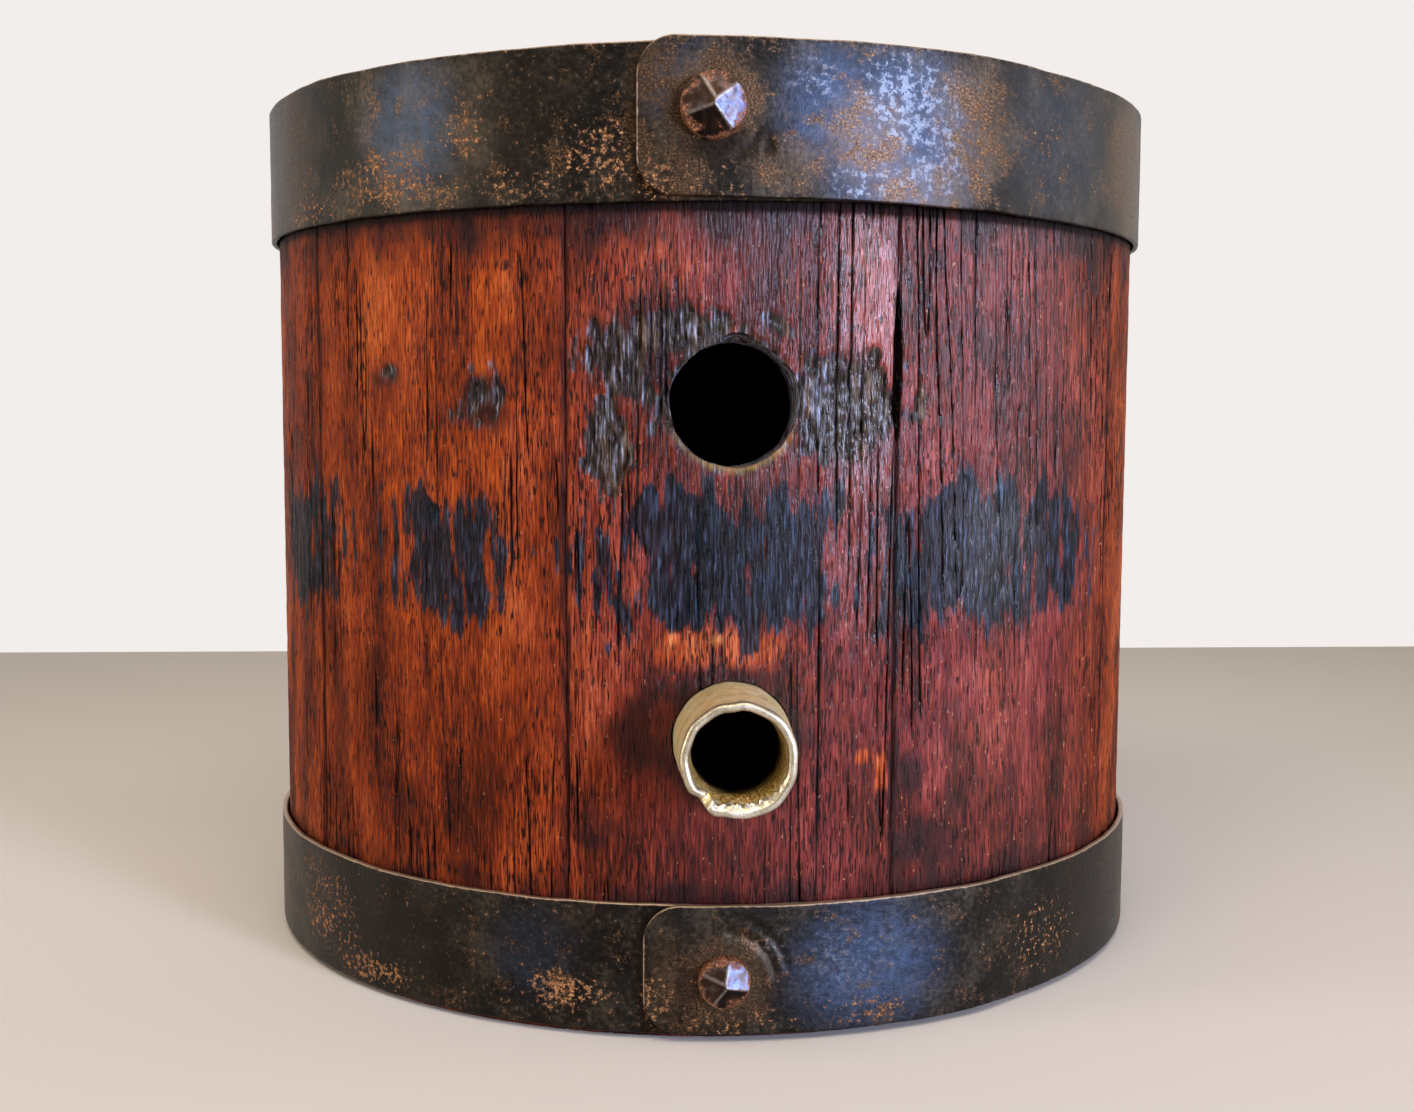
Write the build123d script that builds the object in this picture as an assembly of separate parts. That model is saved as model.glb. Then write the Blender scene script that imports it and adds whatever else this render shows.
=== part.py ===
from build123d import *
from math import acos, cos, degrees, radians, sin, sqrt
import os

# A small straight-sided keg: ten oak staves, two doweled heads, two lapped and riveted iron hoops, a brass spout.
# Millimetres and degrees. The origin is the centre of the base, +Z is up, and the bung hole and spout face -Y.
# Angles round the keg start at the front and grow to the right, as seen from the front.
full_turn = 360
quarter_turn = 90
overrun = 5.0

# Staves: the one with the bung hole, a wide one on each side of it, and the rest alike
shell_radius = 100.0
stave_length = 184.8
stave_thickness = 12.0
plain_stave_count = 7
bung_stave_angle = 36.4
flank_stave_angle = 38.2
joint_arris = 0.4

# Stave ends: the bevelled chime, and the croze groove that holds the head
chime_bevel_width = 4.0
chime_bevel_height = 7.0
croze_inset = 14.0
croze_mouth = 7.0
croze_root = 2.5
croze_depth = 4.0

# Holes in the bung stave, measured up from the base
bung_hole_radius = 11.5
bung_hole_height = 119.7
spout_height = 57.0

# Spout: a tube pressed through the stave, tapering to a lip bevelled inside and outside
spout_bore_radius = 8.3
spout_root_wall = 2.8
spout_lip_wall = 2.1
spout_reach = 18.0
spout_tail = 2.0
spout_lip_bevel = 0.7
spout_clearance = 0.05

# Heads: a middle board between two cants, held edge to edge by eight-sided pegs in round holes
head_thickness = 10.0
head_middle_width = 66.0
croze_clearance = 0.3
dowel_side_count = 8
dowel_radius = 3.0
dowel_length = 26.0
dowel_spacing = 80.0
dowel_clearance = 0.1
dowel_end_room = 0.5

# Hoops: flat iron strip bent round the staves, with its end lapped over its start
hoop_thickness = 1.2
hoop_gap = 0.4
lap_gap = 0.1
lap_room = 1.0
lap_corner_round = 7.0
under_corner_round = 4.0

# Top hoop
top_hoop_width = 28.5
top_hoop_inset = 0.3
top_lap_rise = 1.2
top_lap_end_angle = -10.0
top_under_end_angle = 28.5

# Bottom hoop
bottom_hoop_width = 25.0
bottom_hoop_inset = 1.0
bottom_lap_rise = 0.4
bottom_lap_end_angle = -9.3
bottom_under_end_angle = 27.0

# Hoop rivets: a hammered head of flat facets outside, and a countersunk foot inside
rivet_shank_radius = 2.5
rivet_foot_radius = 3.4
rivet_foot_depth = 0.8
rivet_clearance = 0.05
rivet_facet_turns = (5, 80, 150, 250)
rivet_apex_offset_shares = (0.05, 0.10)
rivet_collar_height = 1.4

# Top rivet, its height measured up from the lower edge of its hoop
top_rivet_angle = -2.3
top_rivet_height = 17.0
top_rivet_head_radius = 6.1
top_rivet_head_height = 5.6

# Bottom rivet
bottom_rivet_angle = -0.8
bottom_rivet_height = 10.8
bottom_rivet_head_radius = 5.0
bottom_rivet_head_height = 4.4

# Sizes that follow from those above
inner_radius = shell_radius - stave_thickness
croze_radius = inner_radius + croze_depth
croze_middle = croze_inset + croze_mouth / 2
croze_slope = (croze_mouth - croze_root) / 2 / croze_depth
spout_root_radius = spout_bore_radius + spout_root_wall
spout_lip_radius = spout_bore_radius + spout_lip_wall
hoop_radius = shell_radius + hoop_gap
lap_radius = hoop_radius + hoop_thickness + lap_gap
rivet_seat_radius = lap_radius + hoop_thickness
plain_stave_angle = (full_turn - bung_stave_angle - 2 * flank_stave_angle) / plain_stave_count
top_hoop_foot = stave_length - top_hoop_inset - top_hoop_width


def polar(radius, angle):
    """Point at a radius from the keg's axis and an angle round it from the front."""
    turn = radians(angle - quarter_turn)
    return radius * cos(turn), radius * sin(turn)


def ring_arc(radius, start, end):
    """Arc round the keg's axis between two angles from the front."""
    return CenterArc((0, 0), radius, start - quarter_turn, end - start)


def turned(points):
    """Solid of revolution about Z from the corners of its half section, each a radius and a height."""
    return revolve(Plane.XZ * make_face(Polyline(*points, close=True)), Axis.Z)


def along_front(height):
    """Place that turns +Z to face the front at a height up the keg."""
    return Pos(0, 0, height) * Rot(quarter_turn, 0, 0)


def stave_section():
    """Stave cut through the keg's axis, with the chime bevel and the croze at both ends."""
    croze_flank = (croze_mouth - croze_root) / 2
    lower = [
        (inner_radius + chime_bevel_width, 0),
        (inner_radius, chime_bevel_height),
        (inner_radius, croze_inset),
        (croze_radius, croze_inset + croze_flank),
        (croze_radius, croze_inset + croze_mouth - croze_flank),
        (inner_radius, croze_inset + croze_mouth),
    ]
    upper = [(radius, stave_length - height) for radius, height in reversed(lower)]
    outside = [(shell_radius, stave_length), (shell_radius, 0)]
    return Plane.XZ * make_face(Polyline(*lower, *upper, *outside, close=True))


def make_stave(start, angle):
    """Stave that covers an angle of the shell, with radial sides and softened outer joint edges."""
    blank = revolve(stave_section(), Axis.Z, angle)
    joint_edges = blank.edges().filter_by(Axis.Z).group_by(SortBy.LENGTH)[-1]
    return Rot(0, 0, start - quarter_turn) * chamfer(joint_edges, joint_arris)


def make_bung_stave(start, angle):
    """Front stave with the bung hole and the hole that holds the spout."""
    depth = shell_radius + overrun
    bung_hole = Cylinder(bung_hole_radius, depth, align=(Align.CENTER, Align.CENTER, Align.MIN))
    spout_hole = Cylinder(
        spout_root_radius + spout_clearance, depth, align=(Align.CENTER, Align.CENTER, Align.MIN)
    )
    stave = make_stave(start, angle)
    return stave - along_front(bung_hole_height) * bung_hole - along_front(spout_height) * spout_hole


def make_staves():
    """Every stave by name, in order round the keg from the bung stave."""
    angles = [flank_stave_angle] + [plain_stave_angle] * plain_stave_count + [flank_stave_angle]
    start = bung_stave_angle / 2
    staves = {"bung_stave": make_bung_stave(-start, bung_stave_angle)}
    for number, angle in enumerate(angles, start=2):
        staves[f"stave_{number:02d}"] = make_stave(start, angle)
        start += angle
    return staves


def make_spout():
    """Tapered tube through the bung stave, with its lip bevelled inside and outside."""
    tail_end = inner_radius - spout_tail
    lip_end = shell_radius + spout_reach
    tube = turned(
        [
            (spout_bore_radius, tail_end),
            (spout_root_radius, tail_end),
            (spout_root_radius, shell_radius),
            (spout_lip_radius, lip_end),
            (spout_bore_radius, lip_end),
        ]
    )
    lip_edges = tube.edges().filter_by(GeomType.CIRCLE).group_by(Axis.Z)[-1]
    return along_front(spout_height) * chamfer(lip_edges, spout_lip_bevel)


def head_disc():
    """Whole head about the middle of its croze, its rim bevelled on both faces to a wedge that fits the groove."""
    rim_radius = croze_radius - croze_clearance
    rim_half = croze_root / 2
    face_half = head_thickness / 2
    face_radius = rim_radius - (face_half - rim_half) / croze_slope
    return turned(
        [(0, -face_half), (face_radius, -face_half), (rim_radius, -rim_half)]
        + [(rim_radius, rim_half), (face_radius, face_half), (0, face_half)]
    )


def at_head_joints(peg):
    """A peg that lies along X, copied to the four places where dowels cross the joints of a head."""
    sides = (-1, 1)
    return [
        Pos(side * head_middle_width / 2, end * dowel_spacing / 2, 0) * peg for side in sides for end in sides
    ]


def dowel():
    """Cleft peg shaved to flat sides, lying along X."""
    return extrude(Plane.YZ * RegularPolygon(dowel_radius, dowel_side_count), dowel_length / 2, both=True)


def dowel_hole():
    """Room for one dowel, lying along X."""
    length = dowel_length + 2 * dowel_end_room
    return Rot(0, quarter_turn, 0) * Cylinder(dowel_radius + dowel_clearance, length)


def make_head(prefix, middle_height):
    """Boards and dowels of one head, by name, at the height of its croze."""
    bored = head_disc() - at_head_joints(dowel_hole())
    right_joint = Plane.YZ.offset(head_middle_width / 2)
    left_joint = Plane.YZ.offset(-head_middle_width / 2)
    rest = split(bored, right_joint, Keep.BOTTOM)
    boards = {
        "head_right_cant": split(bored, right_joint, Keep.TOP),
        "head_middle": split(rest, left_joint, Keep.TOP),
        "head_left_cant": split(rest, left_joint, Keep.BOTTOM),
        "head_dowels": Compound(children=at_head_joints(dowel())),
    }
    return {f"{prefix}_{name}": Pos(0, 0, middle_height) * board for name, board in boards.items()}


def rivet_place(angle, height):
    """Place whose +Z points straight out of the keg at an angle and height, from the keg's axis."""
    return Plane(origin=(0, 0, height), x_dir=(0, 0, 1), z_dir=(*polar(1, angle), 0)).location


def rivet_shank(room, foot_level):
    """Shank and countersunk foot with room added all round, cut off flat at a distance from the keg's axis."""
    foot_slope = (rivet_foot_radius - rivet_shank_radius) / rivet_foot_depth
    foot_radius = rivet_foot_radius + foot_slope * (hoop_radius - foot_level) + room
    shank_radius = rivet_shank_radius + room
    return turned(
        [
            (0, foot_level),
            (foot_radius, foot_level),
            (shank_radius, hoop_radius + rivet_foot_depth),
            (shank_radius, rivet_seat_radius + rivet_collar_height),
            (0, rivet_seat_radius + rivet_collar_height),
        ]
    )


def rivet_head(radius, height):
    """Hammered head: a round collar under flat facets that meet off centre."""
    head = Pos(0, 0, lap_radius) * Cylinder(
        radius, hoop_thickness + height, align=(Align.CENTER, Align.CENTER, Align.MIN)
    )
    apex = (*(share * radius for share in rivet_apex_offset_shares), rivet_seat_radius + height)
    slope = (height - rivet_collar_height) / radius
    for turn in rivet_facet_turns:
        downhill = (slope * cos(radians(turn)), slope * sin(radians(turn)), 1)
        head = split(head, Plane(origin=apex, z_dir=downhill), Keep.BOTTOM)
    return head


def make_rivet(angle, height, head_radius, head_height):
    """Rivet whose head seats on the curve of the lapped hoop end and whose foot lies flush inside."""
    hoop_face = Cylinder(rivet_seat_radius, stave_length, align=(Align.CENTER, Align.CENTER, Align.MIN))
    head = rivet_place(angle, height) * rivet_head(head_radius, head_height) - hoop_face
    return head + rivet_place(angle, height) * rivet_shank(0, hoop_radius)


def rounded_end(strip, end_point, radius):
    """Strip with the two corners rounded at the end that lies at a point."""
    end_face = strip.faces().sort_by_distance(end_point)[0]
    return fillet(end_face.edges().filter_by(Plane.XY), radius)


def make_hoop(foot, width, rise, lap_end, under_end, rivet_angle, rivet_height):
    """Hoop strip from its lapped outer end, down a ramp behind its under end, and round to that end."""
    band_face = hoop_radius + hoop_thickness
    lap_face = lap_radius + hoop_thickness
    ramp = under_end + degrees(lap_room / hoop_radius)
    ramp_inside = ramp + degrees(acos(hoop_radius / lap_radius))
    ramp_outside = ramp + degrees(acos(band_face / lap_face))
    ramp_line = Line(polar(lap_radius, ramp), polar(lap_face, ramp))
    lap_plan = make_face(
        ring_arc(lap_radius, lap_end, ramp)
        + ramp_line
        + ring_arc(lap_face, lap_end, ramp)
        + Line(polar(lap_face, lap_end), polar(lap_radius, lap_end))
    )
    band_plan = make_face(
        ramp_line
        + Line(polar(lap_radius, ramp), polar(hoop_radius, ramp_inside))
        + ring_arc(hoop_radius, ramp_inside, under_end + full_turn)
        + Line(polar(hoop_radius, under_end), polar(band_face, under_end))
        + ring_arc(band_face, ramp_outside, under_end + full_turn)
        + Line(polar(band_face, ramp_outside), polar(lap_face, ramp))
    )
    strip = Pos(0, 0, foot) * extrude(band_plan, width) + Pos(0, 0, foot + rise) * extrude(lap_plan, width)
    lap_point = (*polar((lap_radius + lap_face) / 2, lap_end), foot + rise + width / 2)
    under_point = (*polar((hoop_radius + band_face) / 2, under_end), foot + width / 2)
    strip = rounded_end(strip, lap_point, lap_corner_round)
    strip = rounded_end(strip, under_point, under_corner_round)
    return strip - rivet_place(rivet_angle, rivet_height) * rivet_shank(rivet_clearance, shell_radius)


def make_hoops():
    """Both hoops and their rivets, by name."""
    top_rivet_level = top_hoop_foot + top_rivet_height
    bottom_rivet_level = bottom_hoop_inset + bottom_rivet_height
    return {
        "top_hoop": make_hoop(
            top_hoop_foot,
            top_hoop_width,
            top_lap_rise,
            top_lap_end_angle,
            top_under_end_angle,
            top_rivet_angle,
            top_rivet_level,
        ),
        "top_hoop_rivet": make_rivet(
            top_rivet_angle, top_rivet_level, top_rivet_head_radius, top_rivet_head_height
        ),
        "bottom_hoop": make_hoop(
            bottom_hoop_inset,
            bottom_hoop_width,
            bottom_lap_rise,
            bottom_lap_end_angle,
            bottom_under_end_angle,
            bottom_rivet_angle,
            bottom_rivet_level,
        ),
        "bottom_hoop_rivet": make_rivet(
            bottom_rivet_angle, bottom_rivet_level, bottom_rivet_head_radius, bottom_rivet_head_height
        ),
    }


nodes = {
    **make_staves(),
    "spout": make_spout(),
    **make_head("top", stave_length - croze_middle),
    **make_head("bottom", croze_middle),
    **make_hoops(),
}

os.makedirs("parts", exist_ok=True)
for name, solid in nodes.items():
    export_step(solid, f"parts/{name}.step")
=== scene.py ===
"""Looks of a small straight-sided keg: weathered oak staves, riveted hoop iron and a dented brass spout."""
import logging
import math
from dataclasses import dataclass, fields
from enum import Enum
from functools import partial
from typing import Any, Callable, Mapping, Sequence, Union

import bmesh
import bpy
import numpy as np
from mathutils import Matrix, Vector


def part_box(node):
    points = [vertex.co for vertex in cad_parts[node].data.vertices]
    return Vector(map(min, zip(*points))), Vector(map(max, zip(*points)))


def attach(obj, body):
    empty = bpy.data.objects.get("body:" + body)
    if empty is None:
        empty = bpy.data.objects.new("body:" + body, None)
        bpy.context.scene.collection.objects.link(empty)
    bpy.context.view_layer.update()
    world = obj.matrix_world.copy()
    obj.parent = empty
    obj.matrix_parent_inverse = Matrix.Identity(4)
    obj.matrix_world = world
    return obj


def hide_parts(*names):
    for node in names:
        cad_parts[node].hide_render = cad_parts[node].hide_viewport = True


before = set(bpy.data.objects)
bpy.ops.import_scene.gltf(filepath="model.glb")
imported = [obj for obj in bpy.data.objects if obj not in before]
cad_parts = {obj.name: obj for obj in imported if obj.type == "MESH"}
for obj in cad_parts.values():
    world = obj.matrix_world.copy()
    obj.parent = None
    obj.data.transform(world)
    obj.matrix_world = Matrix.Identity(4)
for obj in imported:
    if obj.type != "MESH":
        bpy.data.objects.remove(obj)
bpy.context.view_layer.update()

LOG = logging.getLogger("keg")
BODY = "root"
MM = 0.001
HIDDEN_SIDE = (66.0, 294.0)
SPOT_FADE = (0.35, 1.25)

Tree = bpy.types.NodeTree
Node = bpy.types.Node
Piece = bpy.types.Object
Material = bpy.types.Material
Source = Union[float, bool, str, Sequence[float], Node, bpy.types.NodeSocket]
Kind = Union[str, tuple[str, dict[str, str]]]
Adder = Callable[..., Node]
Stops = tuple[tuple[float, str], ...]
Row = tuple[float, float, float, float, float]
Pair = tuple[float, float]

# A kind of node is Blender's type, alone or with the setting that tells it from its siblings.
PLUS, MINUS, TIMES, TIMES_PLUS, OVER, POWER, ROOT, SINE, COSINE = (
    ("ShaderNodeMath", {"operation": name})
    for name in ("ADD", "SUBTRACT", "MULTIPLY", "MULTIPLY_ADD", "DIVIDE", "POWER", "SQRT", "SINE", "COSINE")
)
ABSOLUTE, SIGN, LEAST, MOST, SOFT_LEAST, ABOVE, BELOW, NEAR = (
    ("ShaderNodeMath", {"operation": name})
    for name in (
        "ABSOLUTE", "SIGN", "MINIMUM", "MAXIMUM", "SMOOTH_MIN", "GREATER_THAN", "LESS_THAN", "COMPARE",
    )
)
SHIFT, STRETCH, SCALE, LENGTH, DIRECTION, DOT = (
    ("ShaderNodeVectorMath", {"operation": name})
    for name in ("ADD", "MULTIPLY", "SCALE", "LENGTH", "NORMALIZE", "DOT_PRODUCT")
)
RANGE = "ShaderNodeMapRange"
SMOOTH_RANGE = (RANGE, {"interpolation_type": "SMOOTHSTEP"})
MIX, BLEND = (("ShaderNodeMix", {"data_type": name}) for name in ("FLOAT", "RGBA"))
NOISE = "ShaderNodeTexNoise"
RAMP = "ShaderNodeValToRGB"
BUMP = "ShaderNodeBump"
ATTRIBUTE = "ShaderNodeAttribute"
COMBINE = "ShaderNodeCombineXYZ"
SEPARATE = "ShaderNodeSeparateXYZ"
POSITION = "GeometryNodeInputPosition"
SET_POSITION = "GeometryNodeSetPosition"
STORE, STORE_VECTOR = (
    ("GeometryNodeStoreNamedAttribute", {"data_type": name}) for name in ("FLOAT", "FLOAT_VECTOR")
)
NAMED, NAMED_VECTOR = (
    ("GeometryNodeInputNamedAttribute", {"data_type": name}) for name in ("FLOAT", "FLOAT_VECTOR")
)


class Socket(Enum):
    """Kinds of input that a geometry tree takes."""

    SIZE = "NodeSocketFloat"
    COUNT = "NodeSocketInt"
    MATERIAL = "NodeSocketMaterial"
    GEOMETRY = "NodeSocketGeometry"


def linear(colour: str) -> tuple[float, float, float, float]:
    """Turns an sRGB hex colour into linear red, green, blue and alpha.

    Args:
        colour: Six hex digits after a hash sign.

    Returns:
        The four linear parts, opaque.
    """
    parts = [int(colour[start:start + 2], 16) / 255 for start in (1, 3, 5)]
    bent = [part / 12.92 if part <= 0.04045 else ((part + 0.055) / 1.055) ** 2.4 for part in parts]
    return bent[0], bent[1], bent[2], 1.0


def add_node(tree: Tree, kind: Kind, *sources: Any, stops: Stops = (), **settings: Any) -> Node:
    """Adds one node with its settings, and links or sets its inputs.

    Args:
        tree: Node tree that takes the node.
        kind: Type of node, alone or with a setting.
        sources: Values or sources in socket order, with None to leave a socket as it is, or one mapping by
            socket name. A node stands for its first output.
        stops: Positions and hex colours of a colour ramp.
        settings: Properties of the node.

    Returns:
        The new node.
    """
    name, preset = (kind, {}) if isinstance(kind, str) else kind
    made = tree.nodes.new(name)
    for label, value in {**preset, **settings}.items():
        setattr(made, label, value)
    sockets = [socket for socket in made.inputs if socket.enabled]
    pairs = zip(sockets, sources)
    if sources and isinstance(sources[0], Mapping):
        by_name = {socket.name: socket for socket in reversed(sockets)}
        pairs = ((by_name[label], value) for label, value in sources[0].items())
    for socket, value in pairs:
        if isinstance(value, Node):
            value = next(output for output in value.outputs if output.enabled)
        if isinstance(value, bpy.types.NodeSocket):
            tree.links.new(value, socket)
        elif value is not None:
            socket.default_value = value
    for _ in stops[2:]:
        made.color_ramp.elements.new(1.0)
    for index, (position, colour) in enumerate(stops):
        made.color_ramp.elements[index].position = position
        made.color_ramp.elements[index].color = linear(colour)
    return made


def new_tree(name: str, *sizes: str) -> tuple[Adder, Any]:
    """Starts a geometry tree with named inputs.

    Args:
        name: Name of the tree.
        sizes: Names of the inputs between the geometry and the material.

    Returns:
        What adds a node to the tree, and the tree's input sockets by name.
    """
    tree = bpy.data.node_groups.new(name, "GeometryNodeTree")
    kinds = {"Geometry": Socket.GEOMETRY, "Columns": Socket.COUNT, "Material": Socket.MATERIAL}
    for label in ("Geometry", *sizes, "Material"):
        kind = kinds.get(label, Socket.SIZE)
        tree.interface.new_socket(label, in_out="INPUT", socket_type=kind.value)
    tree.interface.new_socket("Geometry", in_out="OUTPUT", socket_type=Socket.GEOMETRY.value)
    add = partial(add_node, tree)
    return add, add("NodeGroupInput").outputs


def end_tree(add: Adder, given: Any, geometry: Node) -> Tree:
    """Ends a geometry tree with real, smooth faces in its material.

    Args:
        add: What adds a node to the tree.
        given: The tree's input sockets.
        geometry: Node whose geometry is the result.

    Returns:
        The finished tree.
    """
    smooth = add("GeometryNodeSetShadeSmooth", geometry)
    real = add("GeometryNodeRealizeInstances", smooth)
    dressed = add("GeometryNodeSetMaterial", real, None, given["Material"])
    return add("NodeGroupOutput", dressed).id_data


def new_material(name: str) -> tuple[Material, Adder]:
    """Starts an empty material and gives it with what adds a node to it."""
    made = bpy.data.materials.new(name)
    made.use_nodes = True
    made.node_tree.nodes.clear()
    return made, partial(add_node, made.node_tree)


def end_material(made: Material, parts: Mapping[str, Source]) -> Material:
    """Ends a material with one principled surface.

    Args:
        made: Material to end.
        parts: Values or sources of the surface, by socket name.

    Returns:
        The same material.
    """
    add = partial(add_node, made.node_tree)
    add("ShaderNodeOutputMaterial", add("ShaderNodeBsdfPrincipled", parts))
    return made


def coats(add: Adder, ground: Source, *layers: tuple[Source, Source]) -> Source:
    """Lays colours over a ground, one after another.

    Args:
        add: What adds a node.
        ground: Colour under all layers.
        layers: Cover and colour of each layer, where a colour is a node or a hex colour.

    Returns:
        The colour on top.
    """
    for cover, colour in layers:
        shade = linear(colour) if isinstance(colour, str) else colour
        ground = add(BLEND, cover, ground, shade)
    return ground


def noises(add: Adder, grain: Source, rows: Mapping[str, Row]) -> dict[str, Node]:
    """Adds a noise for each row.

    Args:
        add: What adds a node.
        grain: Coordinates in millimetres.
        rows: Sizes on three axes in millimetres, detail and roughness of each noise.

    Returns:
        The noises by name.
    """
    made = {}
    for label, (*sizes, detail, roughness) in rows.items():
        at = add(STRETCH, grain, [1 / size for size in sizes])
        made[label] = add(NOISE, at, 1.0, detail, roughness)
    return made


def lengths(part: Any, *labels: str) -> dict[str, float]:
    """Fields of a part in metres, under the names that a tree's inputs have."""
    return {label: getattr(part, label.lower().replace(" ", "_")) * MM for label in labels}


def grow(piece: Piece, tree: Tree, sizes: Mapping[str, Any]) -> None:
    """Runs a geometry tree on a piece and keeps the result as its plain mesh.

    Args:
        piece: Object whose mesh goes into the tree.
        tree: Geometry tree to run.
        sizes: Values for the tree's inputs, by name.
    """
    modifier = piece.modifiers.new(tree.name, "NODES")
    modifier.node_group = tree
    for item in tree.interface.items_tree:
        if item.in_out == "INPUT" and item.name in sizes:
            modifier[item.identifier] = sizes[item.name]
    graph = bpy.context.evaluated_depsgraph_get()
    grown = bpy.data.meshes.new_from_object(
        piece.evaluated_get(graph), preserve_all_data_layers=True, depsgraph=graph
    )
    piece.modifiers.remove(modifier)
    seed = piece.data
    piece.data = grown
    bpy.data.meshes.remove(seed)


def new_piece(name: str, points: Any, faces: Sequence[Sequence[int]], edges: Any = ()) -> Piece:
    """Makes an object at the origin from points in metres.

    Args:
        name: Name of the piece.
        points: Its vertices.
        faces: Its faces as vertex numbers.
        edges: Loose edges as vertex numbers.

    Returns:
        The linked object.
    """
    mesh = bpy.data.meshes.new(name)
    mesh.from_pydata([tuple(point) for point in points], list(edges), list(faces))
    piece = bpy.data.objects.new(name, mesh)
    bpy.context.scene.collection.objects.link(piece)
    return piece


def outward(piece: Piece, crease: float) -> None:
    """Turns every face of a closed piece outwards and marks its sharp edges.

    Args:
        piece: Closed mesh object.
        crease: Angle in degrees above which an edge is sharp.
    """
    work = bmesh.new()
    work.from_mesh(piece.data)
    bmesh.ops.recalc_face_normals(work, faces=work.faces)
    work.to_mesh(piece.data)
    work.free()
    piece.data.shade_smooth()
    piece.data.set_sharp_from_angle(angle=math.radians(crease))


def points_of(piece: Piece) -> np.ndarray:
    """Vertices of a piece as an array of rows."""
    flat = np.empty(len(piece.data.vertices) * 3, np.float32)
    piece.data.vertices.foreach_get("co", flat)
    return flat.reshape(-1, 3).astype(float)


def set_points(piece: Piece, points: np.ndarray) -> None:
    """Writes an array of rows back as the vertices of a piece."""
    piece.data.vertices.foreach_set("co", points.astype(np.float32).ravel())
    piece.data.update()


def set_attribute(piece: Piece, name: str, values: np.ndarray) -> None:
    """Stores a number or a vector on every vertex of a piece.

    Args:
        piece: Mesh object.
        name: Name of the attribute.
        values: One row for each vertex.
    """
    kind, key = ("FLOAT", "value") if values.ndim == 1 else ("FLOAT_VECTOR", "vector")
    attribute = piece.data.attributes.get(name) or piece.data.attributes.new(name, kind, "POINT")
    attribute.data.foreach_set(key, values.astype(np.float32).ravel())


def place_piece(piece: Piece, slot: str, *nodes: str) -> None:
    """Puts a finished piece in the place of its solids and reports it.

    Args:
        piece: Finished object.
        slot: Material slot; not used.
        nodes: Solids that it stands for.
    """
    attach(piece, BODY)
    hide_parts(*nodes)
    LOG.info("%s: %d faces in place of %s", piece.name, len(piece.data.polygons), ", ".join(nodes))


def soft_step(value: np.ndarray, low: float, high: float) -> np.ndarray:
    """Smooth rise from 0 at low to 1 at high."""
    share = np.clip((value - low) / (high - low), 0, 1)
    return share * share * (3 - 2 * share)


def window(value: np.ndarray, low: float, risen: float, falling: float, high: float) -> np.ndarray:
    """Smooth rise from low to risen and fall from falling to high."""
    return soft_step(value, low, risen) * (1 - soft_step(value, falling, high))


@dataclass(frozen=True)
class Spot:
    """Soft oval mark on the side of the keg.

    Attributes:
        turn: Angle from the front in degrees, positive to the right.
        height: Height in millimetres.
        wide: Half width in millimetres.
        tall: Half height in millimetres.
        strength: Cover at its middle.
    """

    turn: float
    height: float
    wide: float
    tall: float
    strength: float

    def cover(self, arc: np.ndarray, height: np.ndarray, radius: float) -> np.ndarray:
        """Cover of the mark at places given by arc length and height in millimetres.

        Args:
            arc: Lengths round the keg from the front.
            height: Heights.
            radius: Radius that the arc lengths are measured on.

        Returns:
            The cover at each place, from 0 to the mark's strength.
        """
        across = (arc - math.radians(self.turn) * radius) / self.wide
        along = (height - self.height) / self.tall
        return self.strength * (1 - soft_step(np.hypot(across, along), *SPOT_FADE))


Spots = tuple[Spot, ...]


def spots(*rows: Row) -> Spots:
    """Marks from rows of angle, height, half width, half height and strength."""
    return tuple(Spot(*row) for row in rows)


def marks(laid: Spots, arc: np.ndarray, height: np.ndarray, radius: float) -> np.ndarray:
    """Strongest cover of several marks at each place.

    Args:
        laid: Marks to lay over each other.
        arc: Lengths round the keg from the front, in millimetres.
        height: Heights in millimetres.
        radius: Radius that the arc lengths are measured on.

    Returns:
        The cover at each place.
    """
    cover = np.zeros_like(arc)
    for spot in laid:
        cover = np.maximum(cover, spot.cover(arc, height, radius))
    return cover


def scatter(seed: int, count: int, heights: Pair, reach: Pair, strength: Pair) -> Spots:
    """Marks scattered over the sides and the back of the keg, which the photograph doesn't show.

    Args:
        seed: Fixed seed of the draw.
        count: Number of marks.
        heights: Lowest and highest middle in millimetres.
        reach: Smallest and largest half width in millimetres.
        strength: Weakest and strongest cover.

    Returns:
        The marks.
    """
    draw = np.random.default_rng(seed)
    made = []
    for _ in range(count):
        turn = draw.uniform(*HIDDEN_SIDE)
        wide = draw.uniform(*reach)
        tall = wide * draw.uniform(0.6, 1.6)
        height = draw.uniform(*heights)
        made.append(Spot((turn + 180) % 360 - 180, height, wide, tall, draw.uniform(*strength)))
    return tuple(made)


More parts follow.
